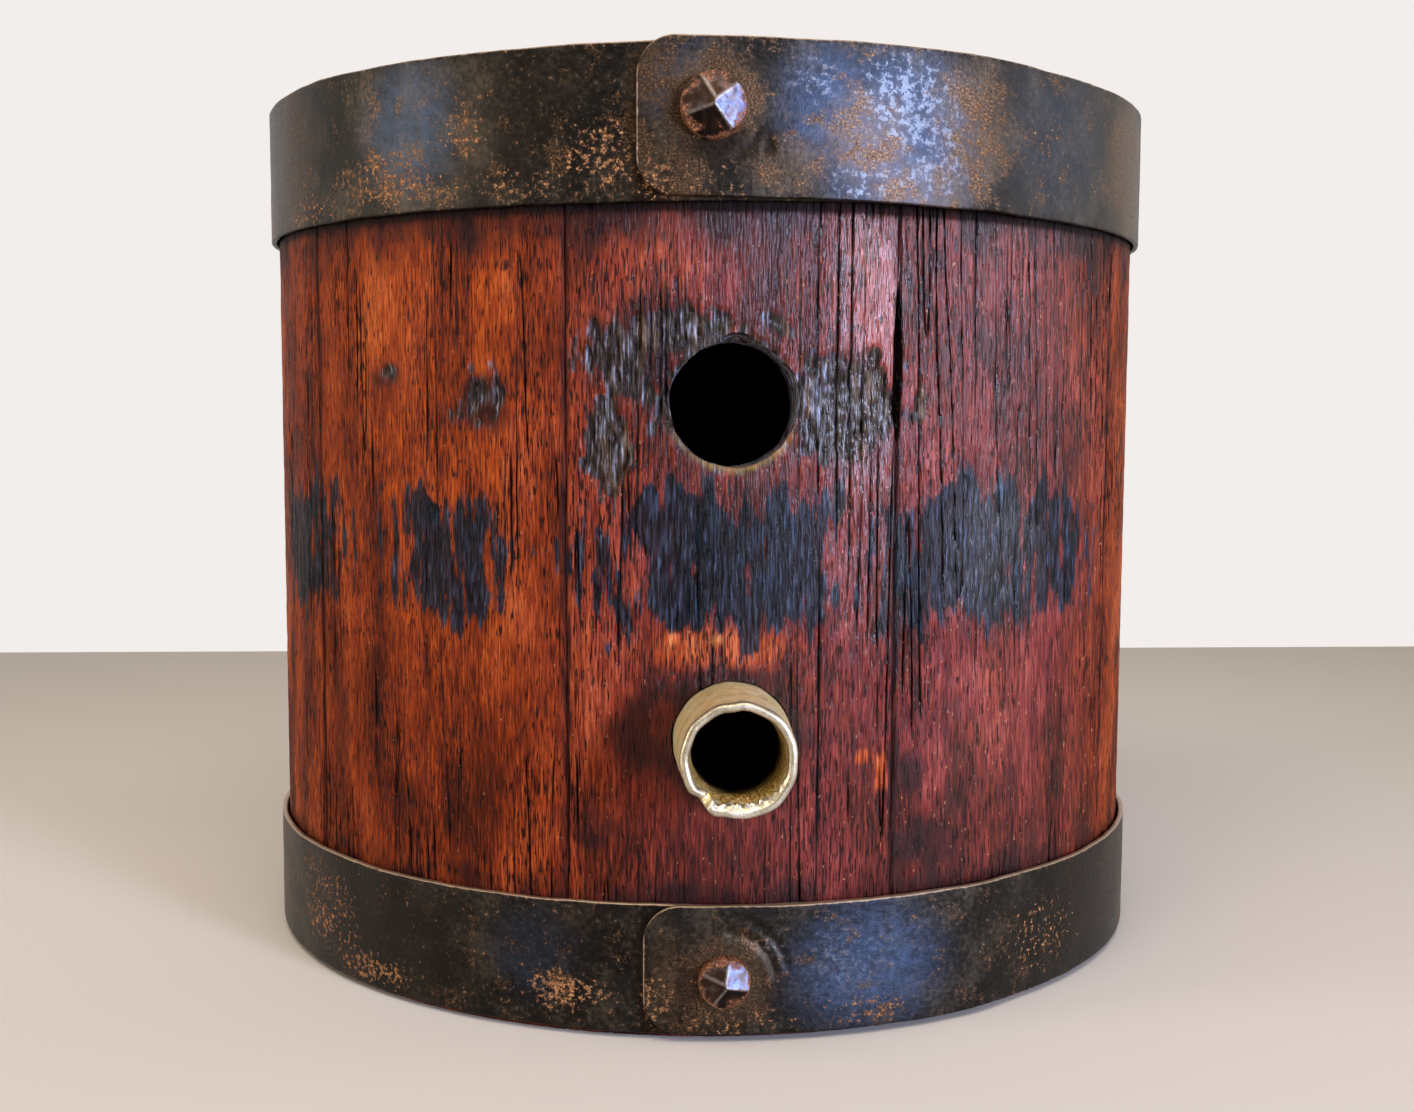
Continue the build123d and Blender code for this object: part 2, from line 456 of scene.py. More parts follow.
def swept_outline(add: Adder, given: Any) -> tuple[Node, Node, Node]:
    """Sweeps the outline that enters a tree along a line of columns, crowded towards both ends.

    Args:
        add: What adds a node to a tree with the inputs Columns and Crowding.
        given: The tree's input sockets.

    Returns:
        The swept mesh, each point's place on the outline, and its share of the way along.
    """
    curve = add("GeometryNodeMeshToCurve", {"Mesh": given["Geometry"]})
    outline = add(STORE_VECTOR, curve, None, "section", add(POSITION))
    straight = add("GeometryNodeCurvePrimitiveLine")
    line = add("GeometryNodeResampleCurve", {"Curve": straight, "Count": given["Columns"]})
    share = add("GeometryNodeSplineParameter").outputs["Factor"]
    wave = add(SINE, add(TIMES, share, math.tau))
    bunch = add(TIMES, given["Crowding"], -1 / math.tau)
    along = add(TIMES_PLUS, wave, bunch, share)
    path = add(STORE, line, None, "along", along)
    mesh = add("GeometryNodeCurveToMesh", {"Curve": path, "Profile Curve": outline, "Fill Caps": True})
    section = add(SEPARATE, add(NAMED_VECTOR, "section"))
    return mesh, section, add(NAMED, "along")


def round_keg(add: Adder, mesh: Node, turn: Source, radius: Source, height: Source) -> Node:
    """Moves every point of a mesh to an angle, radius and height on the keg.

    Args:
        add: What adds a node.
        mesh: Node that holds the mesh.
        turn: Angle in radians from the front.
        radius: Distance from the axis.
        height: Height above the base.

    Returns:
        The node with the moved mesh.
    """
    side = add(TIMES, add(SINE, turn), radius)
    ahead = add(TIMES, add(COSINE, turn), radius)
    behind = add(TIMES, ahead, -1.0)
    place = add(COMBINE, side, behind, height)
    return add(SET_POSITION, mesh, None, place)


def stave_tree() -> Tree:
    """Tree that sweeps a stave's outline through its angle and eases its outer joint edges.

    Returns:
        The geometry tree.
    """
    add, given = new_tree("Stave Sweep", "Columns", "Crowding", "Start", "Turn", "Radius", "Arris")
    mesh, section, along = swept_outline(add, given)
    turn = add(TIMES_PLUS, along, given["Turn"], given["Start"])
    rest = add(MINUS, 1.0, along)
    near = add(LEAST, along, rest)
    width = add(TIMES, given["Turn"], given["Radius"])
    from_side = add(TIMES, near, width)
    drop = add(RANGE, from_side, 0.0, given["Arris"], given["Arris"], 0.0)
    outer = add(NEAR, section.outputs["X"], given["Radius"], 0.5 * MM)
    eased = add(TIMES, add(TIMES, drop, outer), -1.0)
    radius = add(PLUS, section.outputs["X"], eased)
    return end_tree(add, given, round_keg(add, mesh, turn, radius, section.outputs["Z"]))


# Angle, half angle and depth in millimetres of each chip in the bung hole's rim.
BUNG_CHIPS = (
    (88.0, 15.0, 1.5), (62.0, 26.0, 0.5), (14.0, 34.0, 0.9), (163.0, 26.0, 0.7), (215.0, 20.0, 0.3),
)


def bored_tree() -> Tree:
    """Tree that bores two ragged holes through the front stave.

    Returns:
        The geometry tree.
    """
    bores = ("Bung Radius", "Bung Height", "Spout Radius", "Spout Height")
    add, given = new_tree("Bored Holes", *bores, "Reach", "Ragged")
    bored = add("GeometryNodeMeshBoolean", {"Mesh 1": given["Geometry"]}, solver="MANIFOLD")
    for label in ("Bung", "Spout"):
        sizes = {"Radius": given[f"{label} Radius"], "Depth": given["Reach"]}
        drill = add("GeometryNodeMeshCylinder", {"Vertices": 96, "Side Segments": 60, **sizes})
        rough = add(NOISE, None, 190.0, 3.0)
        swell = add(RANGE, rough, 0.3, 0.7, 0.0, given["Ragged"])
        spot = add(POSITION)
        outwards = add(DIRECTION, add(STRETCH, spot, (1, 1, 0)))
        depth = add(SEPARATE, spot).outputs["Z"]
        shallow = add(RANGE, depth, -6 * MM, -1 * MM)
        for angle, half, amount in BUNG_CHIPS if label == "Bung" else ():
            facing = (math.cos(math.radians(angle)), math.sin(math.radians(angle)), 0.0)
            towards = add(DOT, outwards, facing).outputs["Value"]
            share = add(SMOOTH_RANGE, towards, math.cos(math.radians(half)), 1.0, 0.0, amount * MM)
            swell = add(TIMES_PLUS, share, shallow, swell)
        torn = add(SET_POSITION, drill, None, None, add(SCALE, outwards, swell))
        middle = add(TIMES, given["Reach"], -1.0)
        at = add(COMBINE, 0.0, middle, given[f"{label} Height"])
        lying = {"Geometry": torn, "Translation": at, "Rotation": (math.pi / 2, 0, 0)}
        turned = add("GeometryNodeTransform", lying)
        bored.id_data.links.new(turned.outputs[0], bored.inputs["Mesh 2"])
    return end_tree(add, given, bored)


def grain_line(add: Adder, grain: Source, across: float, along: float, half: float) -> Node:
    """Thin lines of even width along the grain, where a smooth noise crosses its middle value.

    Args:
        add: What adds a node.
        grain: Coordinates across the grain, of the board, and along the grain, in millimetres.
        across: Spacing of the lines in millimetres.
        along: Length over which a line wanders.
        half: Half of a line's width.

    Returns:
        A node that is 1 in the middle of a line and 0 beside it.
    """
    sides = []
    for shift in (-half, half):
        moved = add(SHIFT, grain, (shift, 0, 0))
        at = add(STRETCH, moved, (1 / across, 1, 1 / along))
        sides.append(add(MINUS, add(NOISE, at, 1.0, 0.0), 0.5))
    product = add(TIMES, *sides)
    span = add(MINUS, *sides)
    share = add(OVER, product, add(TIMES, span, span))
    return add(TIMES, share, -4.0, use_clamp=True)


# Spacing, length and half width of drying cracks and of dark veins, and the sizes of what lies in relief.
CRACK = (2.6, 110.0, 0.21)
VEIN = (1.0, 34.0, 0.10)
PATCH = (11.0, 1.0, 42.0, 2.0, 0.5)
WOOD_RELIEF = {
    "ridge": (0.9, 1.0, 9.0, 2.0, 0.5),
    "patch": PATCH,
    "gouge": (1.1, 1.0, 2.3, 3.0, 0.5),
    "tear": (2.6, 1.0, 4.6, 5.0, 0.5),
}


def dryness(add: Adder, patch: Source, blush: Source, glow: Source) -> Node:
    """How dry the wood is, which places its cracks: more under the red stain, less where it glows.

    Args:
        add: What adds a node.
        patch: Noise of the dry patches.
        blush: Cover of the red stain.
        glow: Cover of the lighter wood, partly painted highlight, less the darker wood, partly painted
            shade.

    Returns:
        A node with the dryness.
    """
    dried = add(TIMES_PLUS, blush, 0.07, patch)
    return add(TIMES_PLUS, glow, -0.09, dried)


def weather_tree() -> Tree:
    """Tree that sinks grain, drying cracks and gouges into the outer face of a stave.

    Returns:
        The geometry tree.
    """
    add, given = new_tree("Weathered Face", "Radius", "Grain Depth", "Crack Depth", "Gouge Depth")
    grain = add(NAMED_VECTOR, "grain")
    gouge, split, blush, glow = (add(NAMED, label) for label in ("gouge", "split", "blush", "glow"))
    noise = noises(add, grain, WOOD_RELIEF)
    ridge = add(RANGE, noise["ridge"], 0.35, 0.65)
    fine = add(TIMES, ridge, given["Grain Depth"])
    patch = add(RANGE, dryness(add, noise["patch"], blush, glow), 0.53, 0.62)
    cracked = add(TIMES, grain_line(add, grain, *CRACK), patch)
    crack = add(TIMES_PLUS, cracked, given["Crack Depth"], fine)
    drift = add(MINUS, noise["tear"], 0.5)
    frayed = add(TIMES_PLUS, drift, 2.0, gouge)
    open_wood = add(SMOOTH_RANGE, frayed, 0.30, 0.60)
    ripped = add(TIMES, open_wood, add(RANGE, gouge, 0.02, 0.18))
    torn = add(RANGE, noise["gouge"], 0.32, 0.66, 0.12)
    rough = add(TIMES, ripped, torn)
    hollow = add(TIMES_PLUS, rough, given["Gouge Depth"], crack)
    depth = add(PLUS, split, hollow)
    spot = add(STRETCH, add(POSITION), (1, 1, 0))
    reach = add(LENGTH, spot).outputs["Value"]
    outer = add(ABOVE, reach, add(MINUS, given["Radius"], 0.7 * MM))
    sunk = add(TIMES, depth, outer)
    inward = add(TIMES, sunk, -1.0)
    shift = add(SCALE, add(DIRECTION, spot), inward)
    noted = add(STORE, given["Geometry"], None, "sunk", add(TIMES, sunk, 1 / MM))
    noted = add(STORE, noted, None, "torn", ripped)
    return end_tree(add, given, add(SET_POSITION, noted, None, None, shift))


HOOP_INPUTS = (
    "Columns", "Crowding", "Start", "Turn", "Radius", "Foot", "Width", "Ramp Start", "Ramp Turn", "Lift",
    "Spring", "Under Rise", "Lap Rise", "Rise Turn", "Under Round", "Lap Round", "Dent", "Edge Wave",
)


def hoop_tree() -> Tree:
    """Tree that bends a strip round the keg, lifts its end over its start and rounds both ends.

    Returns:
        The geometry tree.
    """
    add, given = new_tree("Lapped Hoop", *HOOP_INPUTS)
    mesh, section, along = swept_outline(add, given)
    travelled = add(TIMES, along, given["Turn"])
    turn = add(MINUS, given["Start"], travelled)
    ramp_end = add(PLUS, given["Ramp Start"], given["Ramp Turn"])
    climbed = add(SMOOTH_RANGE, travelled, given["Ramp Start"], ramp_end)
    half = add(TIMES, given["Width"], 0.5)
    rest = add(MINUS, given["Turn"], travelled)
    # Each end is rounded and may rise, and the strip buckles a little on its way.
    trims, tilts = [], []
    for label, gone in (("Under", travelled), ("Lap", rest)):
        bend = given[f"{label} Round"]
        short = add(MINUS, bend, add(TIMES, gone, given["Radius"]))
        inside = add(MOST, short, 0.0)
        square = add(TIMES, inside, inside)
        root = add(ROOT, add(MINUS, add(TIMES, bend, bend), square))
        trims.append(add(MINUS, bend, root))
        tilts.append(add(RANGE, gone, 0.0, given["Rise Turn"], given[f"{label} Rise"], 0.0))
    kept = add(MINUS, half, add(PLUS, *trims))
    level = add(MINUS, section.outputs["Z"], half)
    squeezed = add(TIMES_PLUS, level, add(OVER, kept, half), half)
    arc = add(TIMES, turn, given["Radius"])
    flat = add(COMBINE, arc, 0.0, squeezed)
    buckle = add(NOISE, flat, 95.0, 2.0)
    dent = add(RANGE, buckle, 0.25, 0.75, 0.0, given["Dent"])
    sprung = add(RANGE, rest, 0.0, math.radians(7), given["Spring"], 0.0)
    bent = add(PLUS, given["Radius"], sprung)
    lifted = add(TIMES_PLUS, climbed, given["Lift"], bent)
    radius = add(PLUS, add(PLUS, lifted, section.outputs["X"]), dent)
    wave = add(MINUS, add(NOISE, flat, 60.0, 4.0), 0.5)
    out = add(ABSOLUTE, add(OVER, level, half))
    edge = add(TIMES, wave, add(POWER, out, 8.0))
    height = add(PLUS, *tilts)
    for rise in (given["Foot"], squeezed, add(TIMES, edge, given["Edge Wave"])):
        height = add(PLUS, height, rise)
    # Edges and ends are rubbed bright, the upper edge most; the lower edge is dimmed as painted shade on
    # the side that faces down.
    margin = add(MINUS, half, add(ABSOLUTE, level))
    rubbed = add(RANGE, margin, 0.0, 0.6 * MM, 1.0, 0.0)
    dimmed_below = add(RANGE, level, -1 * MM, 1 * MM, 0.45, 1.0)
    to_end = add(TIMES, add(LEAST, travelled, rest), given["Radius"])
    at_end = add(RANGE, to_end, 0.0, 0.7 * MM, 0.85, 0.0)
    bright = add(MOST, add(TIMES, rubbed, dimmed_below), at_end)
    noted = add(STORE_VECTOR, mesh, None, "grain", add(SCALE, flat, 1 / MM))
    worn = add(STORE, noted, None, "edge", bright)
    return end_tree(add, given, round_keg(add, worn, turn, radius, height))


# Angle, slope, height as a share of the head's, and brightness of each hammer blow's facet, which paints
# light and shade by the way the facet faces.
RIVET_BLOWS_AND_FACET_LIGHT = (
    (-5.0, 0.52, 0.90, 0.80),
    (78.0, 0.50, 0.92, 0.42),
    (155.0, 0.46, 0.86, 0.38),
    (252.0, 0.62, 0.92, 0.12),
)
UNSTRUCK = 0.3


def rivet_tree() -> Tree:
    """Tree that hammers a round head flat in four blows and stands it on the side of the keg.

    Returns:
        The geometry tree.
    """
    add, given = new_tree("Hammered Rivet", "Radius", "Height", "Seat", "Turn", "Level", "Spin", "Dent")
    cone = {"Vertices": 96, "Side Segments": 44, "Radius Top": 0.02 * MM}
    disc = add("GeometryNodeMeshCone", {**cone, "Radius Bottom": 1.0, "Depth": 1.0})
    spot = add(STRETCH, add(POSITION), (1, 1, 0))
    share = add(LENGTH, spot).outputs["Value"]
    crowded = add(SINE, add(TIMES, share, math.pi / 2))
    reach = add(TIMES, crowded, given["Radius"])
    flat = add(SCALE, add(DIRECTION, spot), reach)
    wall = add(ROOT, add(MINUS, 1.0, add(POWER, crowded, 4.0)))
    # Each blow is a plane that cuts the head off, and a ridge is left where two of them meet; each facet
    # takes its blow's brightness as painted light and shade.
    height = lowest = add(TIMES, wall, given["Height"])
    second = add(PLUS, height, 1.0)
    tone = UNSTRUCK
    for angle, slope, shift, shade in RIVET_BLOWS_AND_FACET_LIGHT:
        turned = add(PLUS, given["Spin"], math.radians(angle))
        facing = add(COMBINE, add(COSINE, turned), add(SINE, turned), 0.0)
        far = add(DOT, flat, facing).outputs["Value"]
        plane = add(TIMES_PLUS, far, -slope, add(TIMES, given["Height"], shift))
        tone = add(MIX, add(BELOW, plane, lowest), tone, shade)
        second = add(LEAST, second, add(MOST, plane, lowest))
        lowest = add(LEAST, plane, lowest)
        height = add(SOFT_LEAST, height, plane, 0.35 * MM)
    pits = add(NOISE, flat, 330.0, 2.0)
    dent = add(TIMES, add(MINUS, pits, 0.5), given["Dent"])
    out = add(PLUS, height, dent)
    away = add(PLUS, out, given["Seat"])
    sine, cosine = (add(kind, given["Turn"]) for kind in (SINE, COSINE))
    right, up, _ = add(SEPARATE, flat).outputs
    x = add(TIMES_PLUS, away, sine, add(TIMES, right, cosine))
    y = add(MINUS, add(TIMES, right, sine), add(TIMES, away, cosine))
    z = add(PLUS, up, given["Level"])
    grain = add(SCALE, add(COMBINE, right, up, out), 1 / MM)
    ridge = add(RANGE, add(MINUS, second, lowest), 0.0, 0.3 * MM, 1.0, 0.0)
    noted = add(STORE_VECTOR, disc, None, "grain", grain)
    for label, value in (("blow", tone), ("rim", share), ("ridge", ridge)):
        noted = add(STORE, noted, None, label, value)
    placed = add(SET_POSITION, noted, None, add(COMBINE, x, y, z))
    return end_tree(add, given, placed)


@dataclass(frozen=True)
class WornFinish:
    """What worn finishes share. A row is a noise: three sizes in millimetres, detail and roughness."""

    name: str

    def start(self, *places: str) -> tuple[Material, Adder, dict[str, Source], dict[str, Node]]:
        """Starts the material with the wear that it reads from the mesh, and its noises.

        Args:
            places: Names of the attributes that hold wear.

        Returns:
            The material, what adds a node to it, the grain and the wear by name, and the noises by name.
        """
        made, add = new_material(self.name)
        place = {label: add(ATTRIBUTE, attribute_name=label).outputs["Fac"] for label in places}
        place["grain"] = add(ATTRIBUTE, attribute_name="grain").outputs["Vector"]
        rows = {field.name: getattr(self, field.name) for field in fields(self) if field.type == Row}
        return made, add, place, noises(add, place["grain"], rows)


@dataclass(frozen=True)
class StainedOak(WornFinish):
    """Oak staves, split and shaved, stained red and worn: pores, drying cracks and old dark paint.

    The stain gives the eye cloudy red-brown, the open pores short black dashes, the cracks thin black
    lines, and old wax a sheen that the ridges of the grain break up. Sizes run across the grain, over
    the boards and along the grain. The fibre is drawn coarser than real oak's, so that it shows.
    """

    name: str = "stained_oak_shaved_and_weathered"
    fibre: Row = (0.5, 1.0, 5.0, 3.0, 0.5)
    band: Row = (2.6, 1.0, 60.0, 2.0, 0.5)
    cloud: Row = (12.0, 1.0, 30.0, 5.0, 0.5)
    pore: Row = (0.32, 1.0, 3.0, 1.0, 0.5)
    fleck: Row = (0.45, 1.0, 1.0, 0.0, 0.5)
    flake: Row = (2.2, 1.0, 12.0, 4.0, 0.5)
    blot: Row = (7.0, 1.0, 9.0, 4.0, 0.5)
    patch: Row = PATCH
    warm: Stops = (
        (0.33, "#2a0d04"), (0.43, "#531b07"), (0.50, "#7a2d0a"), (0.57, "#9b420e"), (0.67, "#bf611b"),
    )
    cool: Stops = (
        (0.33, "#200a0b"), (0.43, "#3e1314"), (0.50, "#591c1b"), (0.57, "#722924"), (0.67, "#96463c"),
    )
    grey: Stops = (
        (0.30, "#0a0808"), (0.45, "#251d19"), (0.56, "#43382f"), (0.65, "#636470"), (0.76, "#9aa5c0"),
    )
    earth: Stops = ((0.32, "#120a06"), (0.52, "#4a321d"), (0.72, "#94744c"))
    paint: Stops = ((0.36, "#040709"), (0.52, "#0f1b23"), (0.64, "#203141"), (0.76, "#435870"))
    raw: Stops = ((0.40, "#7c2c10"), (0.52, "#b04d22"), (0.66, "#d2854f"))

    def material(self) -> Material:
        """Builds the material.

        Returns:
            The oak material.
        """
        made, add, place, noise = self.start(
            "blush", "paint", "torn", "bare", "rim", "soot", "sunk", "wax", "glow", "tucked"
        )
        # The stain is cloudy and leans from warm to red; its lighter and darker spots are partly painted
        # highlight and painted shade.
        tone = -0.05
        for source, share in (
            (noise["fibre"], 0.44),
            (noise["band"], 0.16),
            (noise["cloud"], 0.50),
            (place["glow"], 0.075),
        ):
            tone = add(TIMES_PLUS, source, share, tone)
        mixed = add(MINUS, noise["cloud"], 0.5)
        lean = add(TIMES_PLUS, mixed, 1.6, place["blush"], use_clamp=True)
        # Pores crowd in patches, and cracks open where the wood is dry.
        crowd = add(RANGE, noise["patch"], 0.35, 0.65, -0.05, 0.05)
        pore = add(RANGE, add(PLUS, noise["pore"], crowd), 0.595, 0.645)
        open_pore = add(TIMES, pore, 0.92)
        seen = add(RANGE, noise["band"], 0.42, 0.60, 0.0, 0.6)
        veined = add(TIMES, grain_line(add, place["grain"], *VEIN), seen)
        dry = dryness(add, noise["patch"], place["blush"], place["glow"])
        here = add(RANGE, dry, 0.51, 0.59, 0.0, 0.97)
        cracked = add(TIMES, grain_line(add, place["grain"], *CRACK), here)
        painted_crevice_shade = add(RANGE, place["sunk"], 0.20, 0.45, 0.0, 0.95)
        fleck = add(RANGE, noise["fleck"], 0.80, 0.85, 0.0, 0.6)
        # Soot with its painted shade, bare wood and paint fray at their edges, along the fibres.
        wander, torn, clot = (add(MINUS, noise[label], 0.5) for label in ("flake", "fibre", "blot"))
        masks = {}
        for label, sharp, drift in (("soot", 0.4, clot), ("bare", 0.28, wander), ("paint", 0.07, wander)):
            frayed = add(TIMES_PLUS, drift, 1.9, place[label])
            ragged = add(TIMES_PLUS, torn, 0.7, frayed)
            full = add(SMOOTH_RANGE, ragged, 0.5 - sharp, 0.5 + sharp)
            masks[label] = add(TIMES, full, add(RANGE, place[label], 0.02, 0.2))
        # Torn wood is grey where it dried and earthy where it rots, and darker where it is deep, as painted
        # shade in its hollows.
        worn = add(TIMES_PLUS, place["sunk"], -0.17, noise["fibre"])
        lifted = add(PLUS, worn, 0.14)
        grey = add(RAMP, lifted, stops=self.grey)
        rotten = add(RANGE, noise["flake"], 0.52, 0.66, 0.0, 0.7)
        earth = add(RAMP, lifted, stops=self.earth)
        opened = add(TIMES, add(MOST, open_pore, cracked), 0.85)
        black = coats(add, add(RAMP, noise["fibre"], stops=self.paint), (opened, "#020202"))
        fitful = add(RANGE, noise["flake"], 0.34, 0.6, 0.25, 0.9)
        colour = coats(
            add,
            add(RAMP, tone, stops=self.warm),
            (lean, add(RAMP, tone, stops=self.cool)),
            (open_pore, "#100505"),
            (veined, "#1a0706"),
            (cracked, "#060202"),
            # painted shade in deep clefts and gouges
            (painted_crevice_shade, "#090404"),
            (fleck, "#b98157"),
            # soot, with painted shade under the upper hoop, in the bung hole and round the spout
            (add(TIMES, masks["soot"], 0.82), "#140a0d"),
            (add(TIMES, place["torn"], 0.85), coats(add, grey, (rotten, earth))),
            (add(TIMES, masks["paint"], 0.94), black),
            (masks["bare"], add(RAMP, tone, stops=self.raw)),
            (add(TIMES, place["rim"], fitful), "#8a6c42"),
            # painted shadow just under the upper hoop's edge
            (add(TIMES, place["tucked"], 0.93), "#080404"),
        )
        cut = add(TIMES, add(MOST, pore, cracked), -1.0)
        height = add(TIMES_PLUS, noise["fibre"], 1.3, cut)
        bump = add(BUMP, {"Strength": 1.0, "Distance": 0.4 * MM, "Height": height})
        glossy = add(TIMES_PLUS, masks["paint"], -0.2, place["wax"])
        return end_material(
            made,
            {
                "Base Color": colour,
                "Roughness": add(RANGE, noise["fibre"], 0.3, 0.7, 0.42, 0.60),
                "Normal": bump,
                "Specular IOR Level": 0.06,
                "Coat Weight": add(RANGE, glossy, 0.1, 1.35),
                "Coat Roughness": 0.26,
                "Coat Normal": bump,
            },
        )


# Head boards, planed and aged: the eye gets dull grey-brown in broad, quiet bands.
HEAD_OAK = StainedOak(
    name="head_oak_planed_and_aged",
    band=(4.5, 1.0, 120.0, 2.0, 0.5),
    cloud=(26.0, 1.0, 60.0, 5.0, 0.5),
    warm=((0.34, "#1e120b"), (0.43, "#3d2414"), (0.50, "#57351d"), (0.57, "#6f4727"), (0.67, "#8d6440")),
    cool=((0.34, "#1b110d"), (0.43, "#352018"), (0.50, "#4c3023"), (0.57, "#624031"), (0.67, "#7d5a48")),
)


@dataclass(frozen=True)
class HoopIron(WornFinish):
    """Hoop iron, rolled and blackened: dark satin scale, rust flecks, brown film and rubbed bright edges.

    The scale gives the eye a near-black cloudy sheen, the flecks and the film a rusty warmth, and the
    rubbed patches and edges a cold glint. The grit is drawn coarser than real rust, so that it shows.
    """

    name: str = "hoop_iron_rolled_and_blackened"
    cloud: Row = (9.0, 9.0, 9.0, 5.0, 0.55)
    film: Row = (6.0, 6.0, 6.0, 6.0, 0.6)
    flake: Row = (2.2, 2.2, 2.2, 6.0, 0.66)
    speck: Row = (1.1, 1.1, 1.1, 6.0, 0.68)
    grit: Row = (0.42, 0.42, 0.42, 2.0, 0.5)
    scale: Stops = ((0.38, "#0e0c0a"), (0.50, "#221e19"), (0.62, "#423b31"))
    haze: Stops = ((0.35, "#2a1c10"), (0.52, "#513b28"), (0.68, "#785c42"))
    rust: Stops = ((0.35, "#4c2a12"), (0.50, "#8a572a"), (0.66, "#bb8753"))

    def material(self) -> Material:
        """Builds the material.

        Returns:
            The hoop iron material.
        """
        made, add, place, noise = self.start("rust", "bare", "halo", "steel", "grime", "edge")
        peel, crumb, shift = (add(MINUS, noise[label], 0.5) for label in ("flake", "speck", "film"))
        mottled = add(TIMES_PLUS, noise["cloud"], 0.5, add(TIMES, noise["speck"], 0.5))
        mottle = add(RANGE, noise["flake"], 0.3, 0.7, 0.2, 1.0)
        crumbly = add(RANGE, noise["speck"], 0.36, 0.62, 0.6, 1.4)
        # Brown film shows where its noises and the marks add up, bare iron where the scale flaked off.
        grains = place["halo"]
        for source, share in (
            (noise["film"], 2.2),
            (place["rust"], 0.25),
            (noise["speck"], 1.6),
            (noise["grit"], 0.6),
        ):
            grains = add(TIMES_PLUS, source, share, grains)
        bare = add(TIMES_PLUS, peel, 4.2, place["bare"])
        flaky = add(TIMES_PLUS, crumb, 3.4, bare)
        polished = add(RANGE, flaky, 0.50, 0.85, 0.0, 0.95)
        shown = add(TIMES, polished, add(RANGE, place["bare"], 0.0, 0.2))
        cluster = add(TIMES_PLUS, shift, 1.5, place["rust"])
        rusty = add(RANGE, add(TIMES_PLUS, cluster, 0.13, noise["speck"]), 0.635, 0.675)
        rubbed = add(TIMES_PLUS, noise["speck"], 0.9, place["edge"])
        colour = coats(
            add,
            add(RAMP, mottled, stops=self.scale),
            # painted bluish reflection
            (add(TIMES, place["steel"], mottle), "#3c4c64"),
            (add(TIMES, place["halo"], crumbly, use_clamp=True), "#624d35"),
            (add(RANGE, grains, 2.38, 2.68, 0.0, 0.9), add(RAMP, noise["grit"], stops=self.haze)),
            (shown, "#5e6268"),
            # grime, with painted shadow round the rivets, beside the lap's end and on the strip's underside
            (add(TIMES, place["grime"], 0.85), "#150e07"),
            (rusty, add(RAMP, noise["grit"], stops=self.rust)),
            (add(RANGE, noise["grit"], 0.71, 0.76, 0.0, 0.7), "#a08873"),
            (add(RANGE, rubbed, 0.90, 1.25, 0.0, 0.92), "#ab9178"),
        )
        metal = add(TIMES, add(MINUS, 1.0, rusty), 0.85)
        satin = add(RANGE, noise["speck"], 0.3, 0.7, 0.34, 0.52)
        smooth = add(TIMES_PLUS, shown, -0.06, satin)
        rough = add(TIMES_PLUS, rusty, 0.35, smooth, use_clamp=True)
        pitted = add(TIMES_PLUS, rusty, 0.5, noise["speck"])
        bump = add(BUMP, {"Strength": 0.8, "Distance": 0.2 * MM, "Height": pitted})
        parts = {"Base Color": colour, "Metallic": metal, "Roughness": rough, "Normal": bump}
        return end_material(made, parts)


@dataclass(frozen=True)
class RivetIron(WornFinish):
    """Rivet heads, wrought and hammered: faces struck flat, each lit or shaded in paint by the way it
    faces, bright ridges and a rusty rim.
    """

    name: str = "rivet_iron_hammered_and_rusted"
    blotch: Row = (2.6, 2.6, 2.6, 5.0, 0.5)
    grit: Row = (0.45, 0.45, 0.45, 3.0, 0.5)
    # From dark to bluish; the bluish end is a painted reflection on the facet that faces the lamp.
    face: Stops = ((0.0, "#120d0b"), (0.35, "#3a281d"), (0.62, "#544b4c"), (1.0, "#66769f"))
    rust: Stops = ((0.35, "#2c170c"), (0.55, "#73401f"), (0.70, "#b06f3c"))

    def material(self) -> Material:
        """Builds the material.

        Returns:
            The rivet material.
        """
        made, add, place, noise = self.start("blow", "rim", "ridge")
        drift = add(MINUS, noise["blotch"], 0.5)
        struck = add(TIMES_PLUS, drift, 1.2, place["blow"])
        rubbed = add(TIMES, place["ridge"], add(TIMES, noise["grit"], 1.1))
        near = add(TIMES_PLUS, noise["grit"], 0.5, place["rim"])
        rusty = add(RANGE, add(TIMES_PLUS, drift, 2.2, near), 0.86, 1.1, 0.0, 0.9)
        colour = coats(
            add,
            add(RAMP, struck, stops=self.face),
            (rubbed, "#a69a92"),
            (rusty, add(RAMP, noise["grit"], stops=self.rust)),
        )
        metal = add(RANGE, rusty, 0.0, 1.0, 0.9, 0.15)
        rough = add(RANGE, rusty, 0.0, 1.0, 0.46, 0.75)
        bump = add(BUMP, {"Strength": 0.6, "Distance": 0.1 * MM, "Height": noise["grit"]})
        parts = {"Base Color": colour, "Metallic": metal, "Roughness": rough, "Normal": bump}
        return end_material(made, parts)


